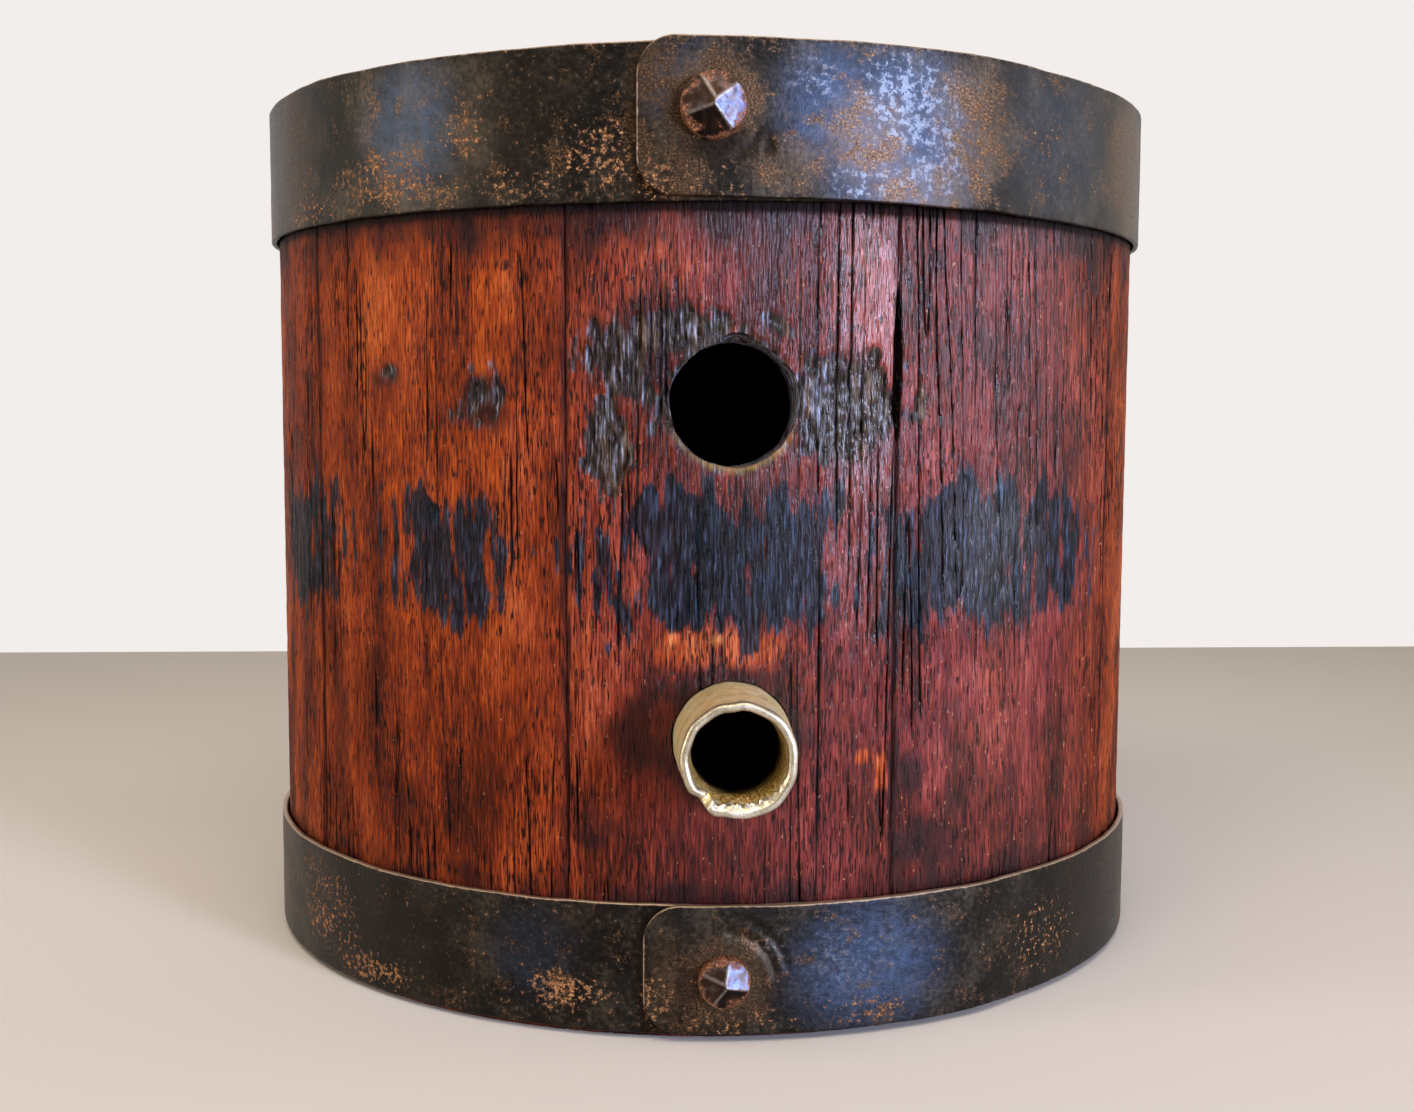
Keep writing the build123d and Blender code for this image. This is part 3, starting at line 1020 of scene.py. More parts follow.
@dataclass(frozen=True)
class SpoutBrass(WornFinish):
    """Spout brass, cast and tarnished: dull olive tan outside, a lip rubbed silvery, crust inside and
    painted shade deeper in the bore.
    """

    name: str = "spout_brass_cast_and_tarnished"
    blotch: Row = (3.2, 3.2, 3.2, 5.0, 0.5)
    grit: Row = (0.5, 0.5, 0.5, 4.0, 0.5)
    ring: Row = (1 / 0.06, 0.8, 1 / 0.06, 3.0, 0.5)
    skin: Stops = ((0.36, "#bda46c"), (0.50, "#f5e0a6"), (0.64, "#fff6d6"))
    silver: Stops = ((0.36, "#8d8066"), (0.52, "#c6bda6"), (0.66, "#e6e1d4"))
    crust: Stops = ((0.32, "#5c4118"), (0.50, "#cda24c"), (0.66, "#ffe7a4"))

    def material(self) -> Material:
        """Builds the material.

        Returns:
            The brass material.
        """
        made, add, place, noise = self.start("lip", "inside", "deep")
        half = add(TIMES, noise["grit"], 0.3)
        turned = add(TIMES_PLUS, noise["ring"], 0.22, half)
        tone = add(TIMES_PLUS, noise["blotch"], 0.48, turned)
        rubbed = add(TIMES_PLUS, noise["blotch"], 0.7, place["lip"])
        bright = add(RANGE, rubbed, 0.85, 1.2, 0.0, 0.95)
        colour = coats(
            add,
            add(RAMP, tone, stops=self.skin),
            (bright, add(RAMP, tone, stops=self.silver)),
            (place["inside"], add(RAMP, noise["grit"], stops=self.crust)),
            # painted shade deep in the bore
            (place["deep"], "#0d0906"),
        )
        metal = add(RANGE, bright, 0.0, 1.0, 0.66, 0.92)
        rough = add(RANGE, tone, 0.35, 0.65, 0.46, 0.30)
        relief = add(TIMES_PLUS, noise["ring"], 1.2, noise["grit"])
        bump = add(BUMP, {"Strength": 0.5, "Distance": 0.14 * MM, "Height": relief})
        parts = {"Base Color": colour, "Metallic": metal, "Roughness": rough, "Normal": bump}
        return end_material(made, parts)


@dataclass(frozen=True)
class DowelOak:
    """Dowel oak, cleft and shaved: bare pale brown with fine streaks along the pin. Millimetres."""

    name: str = "dowel_oak_cleft_and_shaved"
    colours: Stops = ((0.40, "#4a2c18"), (0.60, "#9a6c40"))
    grain: tuple[float, float, float] = (9.0, 0.7, 0.7)
    roughness: Pair = (0.6, 0.8)
    relief: float = 0.1

    def material(self) -> Material:
        """Builds the material.

        Returns:
            The dowel material.
        """
        made, add = new_material(self.name)
        place = add("ShaderNodeTexCoord").outputs["Object"]
        at = add(STRETCH, place, [1 / (size * MM) for size in self.grain])
        broad = add(NOISE, at, 0.2, 4.0)
        fine = add(NOISE, at, 1.0, 3.0)
        tone = add(TIMES_PLUS, fine, 0.5, add(TIMES, broad, 0.5))
        colour = add(RAMP, tone, stops=self.colours)
        rough = add(RANGE, fine, 0.3, 0.7, *self.roughness)
        bump = add(BUMP, {"Strength": 0.7, "Distance": self.relief * MM, "Height": fine})
        return end_material(made, {"Base Color": colour, "Roughness": rough, "Normal": bump})


@dataclass
class StaveShell:
    """The ten staves, swept from one outline, bored at the front and weathered outside. Millimetres."""

    radius: float
    length: float
    hoop_edge: float
    thickness: float = 12.0
    chime_bevel: Pair = (4.0, 7.0)
    croze_inset: float = 14.0
    croze_mouth: float = 7.0
    croze_root: float = 2.5
    croze_depth: float = 4.0
    arris: float = 0.55
    row_step: float = 0.9
    column_step: float = 0.36
    crowding: float = 0.6
    bung_radius: float = 11.5
    bung_height: float = 119.7
    spout_radius: float = 11.2
    spout_height: float = 57.0
    ragged: float = 0.5
    grain_depth: float = 0.2
    crack_depth: float = 0.45
    gouge_depth: float = 1.1
    end_grain: float = 10.0
    grain_lean: float = 0.03
    grain_shift: float = 7.3
    gape_turn: float = 18.2
    gape_low: float = 112.0
    gape_high: float = 142.0
    gape_depth: float = 2.4

    GOUGES = spots(
        (-13.6, 113.0, 5.5, 13.0, 0.66), (-12.5, 127.5, 9.0, 9.5, 0.60), (-5.0, 133.0, 10.0, 6.0, 0.62),
        (2.5, 134.6, 9.0, 3.6, 0.44), (-8.8, 121.0, 5.0, 9.0, 0.54), (9.5, 119.5, 9.0, 11.5, 0.72),
        (14.2, 119.5, 8.5, 11.5, 0.70), (13.0, 127.5, 8.0, 4.5, 0.50), (20.2, 122.0, 4.5, 8.0, 0.46),
    )
    CHIPS = spots(
        (-27.6, 121.0, 5.5, 9.0, 0.40), (-28.8, 118.0, 7.5, 4.5, 0.40), (-41.9, 125.3, 5.0, 2.6, 0.30),
        (-35.0, 100.0, 4.0, 5.0, 0.30),
    )
    BARE = spots((-4.0, 76.0, 9.0, 1.8, 0.30), (16.9, 49.5, 2.0, 5.0, 0.75), (14.8, 53.0, 2.4, 2.0, 0.55))
    WAX = spots(
        (14.5, 141.0, 8.0, 22.0, 0.9), (14.0, 112.0, 8.0, 16.0, 0.9), (14.5, 88.0, 10.0, 18.0, 0.5),
        (32.0, 90.0, 16.0, 18.0, 0.6), (30.0, 56.0, 16.0, 18.0, 0.22),
    )
    STRIP = spots((-1.5, 74.4, 17.0, 4.8, 0.8), (-20.0, 95.0, 4.0, 16.0, 0.6))
    # Darker spots, partly painted shade, and lighter spots, partly painted highlight.
    DARKER_AND_SHADED = spots(
        (31.0, 124.0, 14.0, 26.0, 0.5), (-36.0, 50.0, 26.0, 26.0, 0.8), (-9.0, 38.0, 14.0, 14.0, 0.1),
    )
    GLOW = spots(
        (15.0, 142.0, 7.0, 20.0, 0.75), (-37.0, 60.0, 13.0, 20.0, 0.35), (-45.0, 138.0, 10.0, 14.0, 0.7),
        (-27.0, 137.0, 6.0, 16.0, 0.5), (-25.0, 47.0, 6.0, 16.0, 0.3), (-42.0, 108.0, 6.0, 10.0, 0.6),
        (32.0, 60.0, 10.0, 16.0, 0.85), (46.0, 138.0, 5.0, 18.0, 0.6), (-1.5, 74.4, 17.0, 4.8, 1.1),
        (-8.0, 147.0, 11.0, 9.0, 0.75), (40.0, 46.0, 7.0, 10.0, 0.5),
    )
    STAINS = spots(
        (-8.5, 56.0, 11.0, 13.0, 0.75), (-15.5, 40.0, 6.0, 5.5, 0.62), (-28.0, 119.6, 7.0, 7.0, 0.86),
        (-41.9, 125.3, 6.0, 3.4, 0.7), (7.5, 60.0, 5.0, 9.0, 0.5), (22.5, 34.5, 9.0, 6.5, 0.62),
        (28.0, 44.5, 6.0, 6.0, 0.5), (20.5, 49.0, 3.0, 5.0, 0.6), (-52.0, 60.0, 4.0, 20.0, 0.45),
        (-60.0, 115.0, 6.0, 16.0, 0.42), (34.0, 128.0, 14.0, 12.0, 0.40), (45.0, 110.0, 10.0, 12.0, 0.40),
        (1.0, 143.0, 9.0, 8.0, 0.34), (-10.0, 130.0, 14.0, 12.0, 0.72), (13.0, 119.0, 12.0, 13.0, 0.6),
    )
    # Height of the band of old paint, and its cover by angle in degrees.
    BAND = (77.5, 105.0)
    BAND_COVER = (
        (-74.0, 0.0), (-67.0, 0.78), (-58.0, 0.76), (-50.0, 0.34), (-44.0, 0.28), (-36.0, 0.74),
        (-29.0, 0.70), (-23.0, 0.20), (-17.0, 0.40), (-12.0, 0.50), (-8.0, 0.82), (5.0, 0.86), (9.0, 0.70),
        (12.0, 0.34), (16.0, 0.36), (20.0, 0.62), (25.0, 0.84), (34.0, 0.84), (43.0, 0.66), (50.0, 0.42),
        (57.0, 0.0),
    )

    def outline(self) -> list[Pair]:
        """Section of a stave through the axis, as radius and height in millimetres.

        Returns:
            The closed outline, dense where the outer face shows.
        """
        inner = self.radius - self.thickness
        flank = (self.croze_mouth - self.croze_root) / 2
        deep = inner + self.croze_depth
        lower = [
            (inner + self.chime_bevel[0], 0.0),
            (inner, self.chime_bevel[1]),
            (inner, self.croze_inset),
            (deep, self.croze_inset + flank),
            (deep, self.croze_inset + self.croze_mouth - flank),
            (inner, self.croze_inset + self.croze_mouth),
        ]
        upper = [(radius, self.length - height) for radius, height in reversed(lower)]
        rows = round(self.length / self.row_step)
        outside = [(self.radius, self.length * (1 - row / rows)) for row in range(rows + 1)]
        return lower + upper + outside

    def spread(self, node: str) -> Pair:
        """Start and angle of a stave in radians, read from its solid.

        Args:
            node: Name of the stave's solid.

        Returns:
            The start angle from the front and the angle that it covers.
        """
        flat = np.array([vertex.co[:2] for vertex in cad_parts[node].data.vertices])
        middle = flat.mean(axis=0)
        centre = math.atan2(middle[0], -middle[1])
        turns = np.arctan2(flat[:, 0], -flat[:, 1]) - centre
        turns = (turns + math.pi) % math.tau - math.pi
        return centre + turns.min(), turns.max() - turns.min()

    def note_places(self, piece: Piece, start: float, turn: float, number: int) -> None:
        """Stores the grain's own coordinates and the marks of wear on a stave.

        Args:
            piece: Stave object.
            start: Angle where the stave starts, in radians.
            turn: Angle that it covers.
            number: Number of the stave, which shifts its grain.
        """
        points = points_of(piece)
        centre = start + turn / 2
        around = np.arctan2(points[:, 0], -points[:, 1]) - centre
        around = (around + math.pi) % math.tau - math.pi + centre
        height = points[:, 2] / MM
        below = self.radius - np.hypot(points[:, 0], points[:, 1]) / MM
        lean = self.grain_lean * (number % 3 - 1) * (height - self.length / 2)
        across = around * self.radius + lean
        board = np.full_like(across, self.grain_shift * number)
        front = (around + math.pi) % math.tau - math.pi
        arc, degrees = front * self.radius, np.degrees(front)

        def cover(laid: Spots) -> np.ndarray:
            """Cover of marks on this stave."""
            return marks(laid, arc, height, self.radius)

        from_bung = np.hypot(arc, height - self.bung_height)
        from_spout = np.hypot(arc, height - self.spout_height)
        # Torn wood round the bung hole, chips elsewhere, and a joint that gapes.
        chips = self.CHIPS + scatter(11, 9, (45.0, 140.0), (2.5, 6.0), (0.3, 0.45))
        chipped = 1 - soft_step(from_bung - self.bung_radius, 0.4, 2.0)
        upper = soft_step(height, self.bung_height + 4, self.bung_height + 9)
        gouge = np.maximum(cover(self.GOUGES + chips), (0.56 + 0.10 * upper) * chipped)
        open_joint = window(height, self.gape_low, self.gape_low + 4, self.gape_high - 4, self.gape_high)
        at_joint = np.abs(arc - math.radians(self.gape_turn) * self.radius)
        share = np.clip((height - self.gape_low) / (self.gape_high - self.gape_low), 0, 1)
        gape = 0.25 + 0.75 * np.sin(share * math.pi)
        split = self.gape_depth * MM * open_joint * (1 - soft_step(at_joint / gape, 0.4, 1.15))
        # Old paint, in a band with wavering edges.
        low, high = self.BAND
        waver = height + 2.2 * np.sin(arc * 0.22 + 0.8) + 1.4 * np.sin(arc * 0.51)
        within = window(waver, low - 7, low + 6, high - 8, high + 6)
        bare = cover(self.BARE)
        paint = np.interp(degrees, *zip(*self.BAND_COVER)) * within * (1 - bare)
        # A pale lower rim, and painted shade on the wall inside the bung hole.
        lower = 1 - soft_step(height, 111.0, 117.0)
        rim = (1 - soft_step(from_bung - self.bung_radius, 0.5, 1.5)) * lower
        wall = soft_step(below, 0.25, 0.9) * (1 - soft_step(from_bung, 13.6, 14.2)) * (arc > -30)
        inside = np.maximum(soft_step(height, 108.5, 112.5), soft_step(below, 1.6, 3.0))
        # Soot and painted shade: soot on the ends, soot and painted shade under the upper hoop, darker just
        # above the lower hoop, along the joints, painted shade in the bung hole, and a stain with painted
        # contact shadow round the spout.
        to_end = np.minimum(height, self.length - height)
        end = soft_step(below, 0.4, 1.2) * (1 - soft_step(to_end, 6.0, 9.0))
        under_hoop_soot_and_shade = soft_step(height, 141.0, 155.0) * (1 - 0.6 * soft_step(np.abs(degrees - 16), 8.0, 3.0))
        # Painted shadow on the wood just under the upper hoop's edge.
        tucked = soft_step(height, self.hoop_edge - 2.2, self.hoop_edge - 0.6)
        side = np.minimum(around - start, start + turn - around) * self.radius
        stains = self.STAINS + scatter(12, 14, (35.0, 145.0), (5.0, 13.0), (0.35, 0.6))
        soot = (
            cover(stains),
            0.66 * under_hoop_soot_and_shade,
            0.6 * (1 - soft_step(height, 25.0, 34.0)),
            0.7 * (1 - soft_step(side, 0.3, 1.6)),
            1.4 * wall * inside,
            0.85 * end,
            0.75 * (1 - soft_step(from_spout - self.spout_radius, 0.5, 6.0)),
        )
        # Red stain and wax, most to the right of the front.
        blush = 0.05 + 0.85 * window(degrees, -30.0, 2.0, 40.0, 66.0)
        waxed = 0.12 + 0.46 * window(degrees, -22.0, 10.0, 34.0, 60.0)
        # Lighter and darker spots of the stain, partly painted highlight and painted shade.
        glow = self.GLOW + scatter(13, 16, (35.0, 145.0), (6.0, 14.0), (0.3, 0.7))
        noted = {
            "grain": np.column_stack([across, board, height + self.end_grain * below]),
            "gouge": gouge,
            "split": split,
            "paint": paint,
            "bare": bare,
            "rim": rim * (1 - soft_step(below, 1.2, 2.6)),
            "tucked": tucked,
            "soot": np.maximum.reduce(soot),
            "blush": blush * (1 - 0.85 * cover(self.STRIP).clip(0, 1)),
            "wax": (waxed + cover(self.WAX)) * (1 - tucked),
            "glow": cover(glow) - cover(self.DARKER_AND_SHADED),
        }
        for label, values in noted.items():
            set_attribute(piece, label, values)

    def build(self, material: Material) -> None:
        """Makes every stave and puts it in the place of its solid.

        Args:
            material: Finish of the staves.
        """
        sweep, bore, weather = stave_tree(), bored_tree(), weather_tree()
        dressed = {"Material": material}
        bores = lengths(self, "Bung Radius", "Bung Height", "Spout Radius", "Spout Height", "Ragged")
        depths = lengths(self, "Radius", "Grain Depth", "Crack Depth", "Gouge Depth")
        outline = [(radius * MM, 0.0, height * MM) for radius, height in self.outline()]
        loop = [(index, (index + 1) % len(outline)) for index in range(len(outline))]
        names = ["bung_stave"] + sorted(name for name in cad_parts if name.startswith("stave_"))
        for number, node in enumerate(names, start=1):
            start, turn = self.spread(node)
            piece = new_piece(f"{node}_wood", outline, (), loop)
            columns = round(turn * self.radius / self.column_step)
            sizes = {"Columns": columns, "Crowding": self.crowding, "Start": start, "Turn": turn}
            grow(piece, sweep, {**sizes, **lengths(self, "Radius", "Arris"), **dressed})
            outward(piece, crease=35)
            if node == "bung_stave":
                grow(piece, bore, {**bores, "Reach": self.radius * MM, **dressed})
            self.note_places(piece, start, turn, number)
            grow(piece, weather, {**depths, **dressed})
            piece.data.set_sharp_from_angle(angle=math.radians(50))
            place_piece(piece, "stave_oak", node)


BOARD_INPUTS = (
    "Middle", "Half Width", "Level", "Rim Radius", "Rim Half", "Face Half", "Slope", "Joint", "Arris",
    "Grain Depth", "Seed",
)


def board_tree() -> Tree:
    """Tree that shapes a block into one board of a round head, with a wedge rim and eased joint edges.

    Returns:
        The geometry tree.
    """
    add, given = new_tree("Head Board", *BOARD_INPUTS)
    cube = {"Size": (2.0, 2.0, 2.0), "Vertices X": 150, "Vertices Y": 150, "Vertices Z": 2}
    block = add("GeometryNodeMeshCube", cube)
    *flat, face = add(SEPARATE, add(POSITION)).outputs
    crowded = []
    for share in flat:
        bent = add(SINE, add(TIMES, share, math.pi / 2))
        crowded.append(add(MIX, 0.6, share, bent))
    x = add(TIMES_PLUS, crowded[0], given["Half Width"], given["Middle"])
    whole = add(TIMES, given["Rim Radius"], given["Rim Radius"])
    chord = add(ROOT, add(MINUS, whole, add(TIMES, x, x)))
    y = add(TIMES, crowded[1], chord)
    reach = add(LENGTH, add(COMBINE, x, y, 0.0)).outputs["Value"]
    inside = add(MINUS, given["Rim Radius"], reach)
    wedge = add(TIMES_PLUS, inside, given["Slope"], given["Rim Half"])
    half = add(LEAST, wedge, given["Face Half"])
    off = add(MINUS, add(ABSOLUTE, x), given["Joint"])
    beside = add(ABSOLUTE, off)
    drop = add(RANGE, beside, 0.0, given["Arris"], given["Arris"], 0.0)
    to_mm = add(SCALE, add(COMBINE, x, 0.0, y), 1 / MM)
    grain = add(SHIFT, to_mm, add(COMBINE, 0.0, given["Seed"], 0.0))
    across, board, along, detail, roughness = WOOD_RELIEF["ridge"]
    broad = (2 * across, board, 3 * along, detail, roughness)
    ridge = noises(add, grain, {"ridge": broad})["ridge"]
    worn = add(RANGE, ridge, 0.35, 0.65, 0.0, given["Grain Depth"])
    thick = add(MINUS, add(MINUS, half, drop), worn)
    height = add(TIMES_PLUS, add(SIGN, face), thick, given["Level"])
    gap = add(RANGE, beside, 0.0, 1.2 * MM, 0.9, 0.0)
    dirt = add(RANGE, inside, 0.0, 16 * MM, 0.85, 0.12)
    noted = add(STORE_VECTOR, block, None, "grain", grain)
    noted = add(STORE, noted, None, "soot", add(MOST, gap, dirt))
    placed = add(SET_POSITION, noted, None, add(COMBINE, x, y, height))
    return end_tree(add, given, placed)


@dataclass
class HeadBoards:
    """The three boards of one head, jointed edge to edge, with a wedge rim for the groove. Millimetres."""

    end: str
    rim_radius: float = 91.7
    rim_half: float = 1.25
    face_half: float = 5.0
    slope: float = 0.5625
    joint: float = 33.0
    rim_trim: float = 0.5
    arris: float = 0.7
    grain_depth: float = 0.22
    board_shift: float = 31.7
    end_shift: float = 5.3

    def build(self, tree: Tree, material: Material) -> None:
        """Makes the boards and puts each in the place of its solid.

        Args:
            tree: Tree that shapes a board.
            material: Finish of the heads.
        """
        edges = (self.rim_trim - self.rim_radius, -self.joint, self.joint, self.rim_radius - self.rim_trim)
        sizes = lengths(self, "Rim Radius", "Rim Half", "Face Half", "Joint", "Arris", "Grain Depth")
        for number, board in enumerate(("left_cant", "middle", "right_cant"), start=1):
            start, stop = edges[number - 1:number + 1]
            node = f"{self.end}_head_{board}"
            low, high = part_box(node)
            piece = new_piece(f"{node}_board", [(0.0, 0.0, 0.0)], ())
            own = {
                "Middle": (start + stop) / 2 * MM,
                "Half Width": (stop - start) / 2 * MM,
                "Level": (low.z + high.z) / 2,
                "Slope": self.slope,
                "Seed": self.board_shift * number + self.end_shift * len(self.end),
                "Material": material,
            }
            grow(piece, tree, {**sizes, **own})
            outward(piece, crease=40)
            place_piece(piece, "head_oak", node)


@dataclass
class HoopStrip:
    """One hoop: a strip whose end laps over its start. Sizes in millimetres, angles in degrees.

    A blow is the arc of one hammer mark: angle and height of its middle, radius, start, stop and depth.
    """

    name: str
    foot: float
    width: float
    lap_rise: float
    lap_end: float
    under_end: float
    rust: Spots
    bare: Spots
    halo: Spots
    steel: Spots
    grime: Spots
    blows: tuple[tuple[float, float, float, float, float, float], ...]
    under_rise: float = 0.0
    rise_turn: float = 55.0
    spring: float = 0.35
    thickness: float = 1.2
    radius: float = 100.4
    lift: float = 1.3
    ramp_turn: float = 9.2
    ramp_room: float = 0.6
    lap_round: float = 7.0
    under_round: float = 4.0
    edge_round: float = 0.35
    edge_wave: float = 0.9
    dent: float = 0.16
    row_step: float = 0.9
    columns: int = 900
    crowding: float = 0.9

    def outline(self) -> list[Pair]:
        """Section of the strip, as distance from its inner face and height from its foot.

        Returns:
            The closed outline with rounded edges.
        """
        soft = self.edge_round
        rows = round((self.width - 2 * soft) / self.row_step)
        steps = [soft + (self.width - 2 * soft) * row / rows for row in range(rows + 1)]
        angles = [math.radians(angle) for angle in (22.5, 45.0, 67.5)]
        corner = [(soft * math.cos(angle), soft * math.sin(angle)) for angle in angles]
        top, deep = self.width - soft, self.thickness - soft
        outer = [(self.thickness, height) for height in steps]
        outer += [(deep + across, top + up) for across, up in corner]
        outer += [(deep, self.width), (soft, self.width)]
        inner = [(soft - up, top + across) for across, up in corner]
        inner += [(0.0, height) for height in reversed(steps[::3])]
        under = [(soft - across, soft - up) for across, up in corner] + [(soft, 0.0), (deep, 0.0)]
        under += [(deep + up, soft - across) for across, up in corner]
        return outer + inner + under

    def strike(self, piece: Piece) -> None:
        """Sinks curved hammer marks into the outer face of the strip.

        Args:
            piece: Bent strip.
        """
        points = points_of(piece)
        around = np.arctan2(points[:, 0], -points[:, 1])
        reach = np.hypot(points[:, 0], points[:, 1])
        depth = np.zeros_like(reach)
        for turn, level, radius, start, stop, deep in self.blows:
            across = (around - math.radians(turn)) * self.radius
            up = points[:, 2] / MM - level
            angle = np.degrees(np.arctan2(up, across))
            ring = 1 - soft_step(np.abs(np.hypot(across, up) - radius), 0.2, 1.1)
            depth += deep * ring * window(angle, start, start + 12, stop - 12, stop)
        outer = reach / MM > self.radius + self.lift + 0.6 * self.thickness
        points[:, :2] *= (1 - depth * outer * MM / reach)[:, None]
        set_points(piece, points)

    def build(self, tree: Tree, material: Material) -> None:
        """Makes the strip and puts it in the place of its solid.

        Args:
            tree: Tree that bends the strip.
            material: Finish of the hoop.
        """
        outline = [(out * MM, 0.0, height * MM) for out, height in self.outline()]
        loop = [(index, (index + 1) % len(outline)) for index in range(len(outline))]
        piece = new_piece(f"{self.name}_strip", outline, (), loop)
        turns = {
            "Start": self.under_end,
            "Turn": 360.0 + self.under_end - self.lap_end,
            "Ramp Start": 360.0 - self.ramp_turn - self.ramp_room,
            "Ramp Turn": self.ramp_turn,
            "Rise Turn": self.rise_turn,
        }
        sizes = {label: math.radians(turn) for label, turn in turns.items()}
        sizes |= lengths(self, "Radius", "Foot", "Width", "Lift", "Spring", "Dent", "Edge Wave")
        sizes |= lengths(self, "Under Rise", "Lap Rise", "Under Round", "Lap Round")
        columns = {"Columns": self.columns, "Crowding": self.crowding}
        grow(piece, tree, {**sizes, **columns, "Material": material})
        outward(piece, crease=60)
        points = points_of(piece)
        arc = np.arctan2(points[:, 0], -points[:, 1]) * self.radius
        height = points[:, 2] / MM
        self.strike(piece)
        seed, span = len(self.name), (self.foot, self.foot + self.width)
        wear = {
            "rust": self.rust + scatter(seed, 34, span, (4.0, 13.0), (0.4, 0.95)),
            "bare": self.bare + scatter(seed + 1, 5, span, (3.0, 7.0), (0.2, 0.4)),
            "halo": self.halo + scatter(seed + 2, 12, span, (5.0, 12.0), (0.2, 0.4)),
            "steel": self.steel + scatter(seed + 3, 8, span, (8.0, 18.0), (0.3, 0.8)),
        }
        for label, laid in wear.items():
            set_attribute(piece, label, marks(laid, arc, height, self.radius))
        # Grime, with painted shadow left of and under the rivets, beside the lap's end on the strip beneath
        # it, and painted shade on the strip's underside.
        dirt = marks(self.grime, arc, height, self.radius)
        end = math.radians(self.lap_end) * self.radius
        beside = window(arc, end - 1.6, end - 0.2, end + 5.0, end + 6.0)
        seam = self.radius + self.lift
        layer = 1 - soft_step(np.hypot(points[:, 0], points[:, 1]) / MM, seam - 0.05, seam + 0.05)
        painted_underside_shade = 1 - soft_step(height - height.min(), 0.05, 0.5)
        set_attribute(piece, "grime", np.maximum.reduce([dirt, beside * layer, painted_underside_shade]))
        place_piece(piece, "hoop_iron", self.name)


def hoops() -> list[HoopStrip]:
    """The two hoops with their own widths, laps, wear and painted light, placed from the frame.

    Returns:
        The upper and the lower hoop.
    """
    top_low, top_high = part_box("top_hoop")
    low_low, low_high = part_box("bottom_hoop")
    top_rise, low_rise = 1.2, 0.4
    return [
        HoopStrip(
            "top_hoop",
            top_low.z / MM,
            (top_high.z - top_low.z) / MM - top_rise,
            top_rise,
            lap_end=-10.0,
            under_end=28.5,
            rust=spots(
                (-40.0, 163.0, 18.0, 7.0, 0.9), (-30.0, 170.0, 9.0, 7.0, 0.6),
                (-14.0, 164.5, 9.0, 8.0, 0.85), (-8.0, 160.5, 5.0, 5.0, 0.8),
                (-56.0, 158.5, 12.0, 4.0, 0.8), (-22.0, 160.0, 12.0, 4.0, 0.6),
                (27.0, 168.0, 5.0, 12.0, 0.6), (-2.0, 160.0, 14.0, 4.0, 0.4),
                (38.0, 172.0, 12.0, 12.0, 0.3),
            ),
            bare=spots(
                (18.0, 175.0, 11.0, 9.0, 0.55), (21.5, 166.0, 8.0, 9.0, 0.42),
                (15.0, 160.0, 12.0, 4.0, 0.28), (8.0, 178.0, 5.0, 5.0, 0.22),
            ),
            halo=spots(
                (-2.9, 173.6, 10.0, 10.0, 0.72), (-7.5, 166.0, 8.0, 18.0, 0.26),
                (-6.0, 168.0, 9.0, 18.0, 0.20), (14.0, 168.0, 10.0, 10.0, 0.30),
                (5.0, 163.0, 9.0, 6.0, 0.24), (26.0, 172.0, 11.0, 14.0, 0.30),
                (20.0, 160.0, 14.0, 6.0, 0.28), (60.0, 170.0, 16.0, 18.0, 0.5),
                (-62.0, 170.0, 14.0, 18.0, 0.4), (-8.0, 178.0, 6.0, 8.0, 0.4),
            ),
            # Painted bluish reflection.
            steel=spots(
                (9.0, 174.0, 10.0, 12.0, 0.6), (-5.6, 177.0, 8.0, 10.0, 0.55),
                (18.0, 168.0, 18.0, 18.0, 0.75), (-37.0, 172.0, 14.0, 14.0, 0.6),
                (40.0, 172.0, 22.0, 18.0, 0.3),
            ),
            # Grime, and painted shadow left of and under the rivet and in the small dent beside it.
            grime=spots(
                (-20.0, 180.0, 10.0, 9.0, 0.5), (-1.8, 166.4, 8.0, 4.0, 1.0), (-6.2, 171.5, 2.4, 6.0, 0.5),
                (-24.0, 174.0, 14.0, 14.0, 0.35), (-62.0, 172.0, 24.0, 22.0, 0.5),
                (3.2, 166.1, 1.6, 2.2, 0.9),
            ),
            blows=((-2.3, 173.0, 9.4, -75.0, -25.0, 0.35), (3.2, 166.1, 0.6, -180.0, 180.0, 0.4)),
            under_rise=1.0,
        ),
        HoopStrip(
            "bottom_hoop",
            low_low.z / MM,
            (low_high.z - low_low.z) / MM - low_rise,
            low_rise,
            lap_end=-9.3,
            under_end=27.0,
            rust=spots(
                (-55.0, 14.0, 16.0, 12.0, 0.75), (-45.0, 5.0, 14.0, 4.0, 0.95),
                (-18.0, 8.0, 11.0, 5.0, 0.95), (-8.0, 8.0, 4.0, 6.0, 0.8), (0.0, 4.0, 12.0, 3.0, 0.6),
                (15.0, 5.0, 12.0, 3.5, 0.65), (40.0, 12.0, 14.0, 9.0, 0.6),
            ),
            bare=spots((13.0, 16.0, 10.0, 8.0, 0.14), (4.0, 18.5, 4.0, 3.0, 0.20)),
            halo=spots((-0.8, 11.8, 10.0, 10.0, 0.42), (-7.0, 12.0, 4.0, 12.0, 0.25)),
            # Painted bluish reflection.
            steel=spots((15.0, 13.0, 17.0, 14.0, 1.0), (-22.0, 16.0, 10.0, 10.0, 0.4)),
            # Grime, and painted shadow left of the rivet.
            grime=spots(
                (-46.0, 15.0, 32.0, 22.0, 1.0), (54.0, 15.0, 30.0, 22.0, 1.0), (-4.4, 11.0, 3.0, 5.0, 0.7),
                (-24.0, 20.0, 20.0, 8.0, 0.35),
            ),
            blows=((-0.8, 11.8, 9.3, 0.0, 95.0, 0.55), (-0.8, 11.8, 11.8, 5.0, 75.0, 0.35)),
        ),
    ]


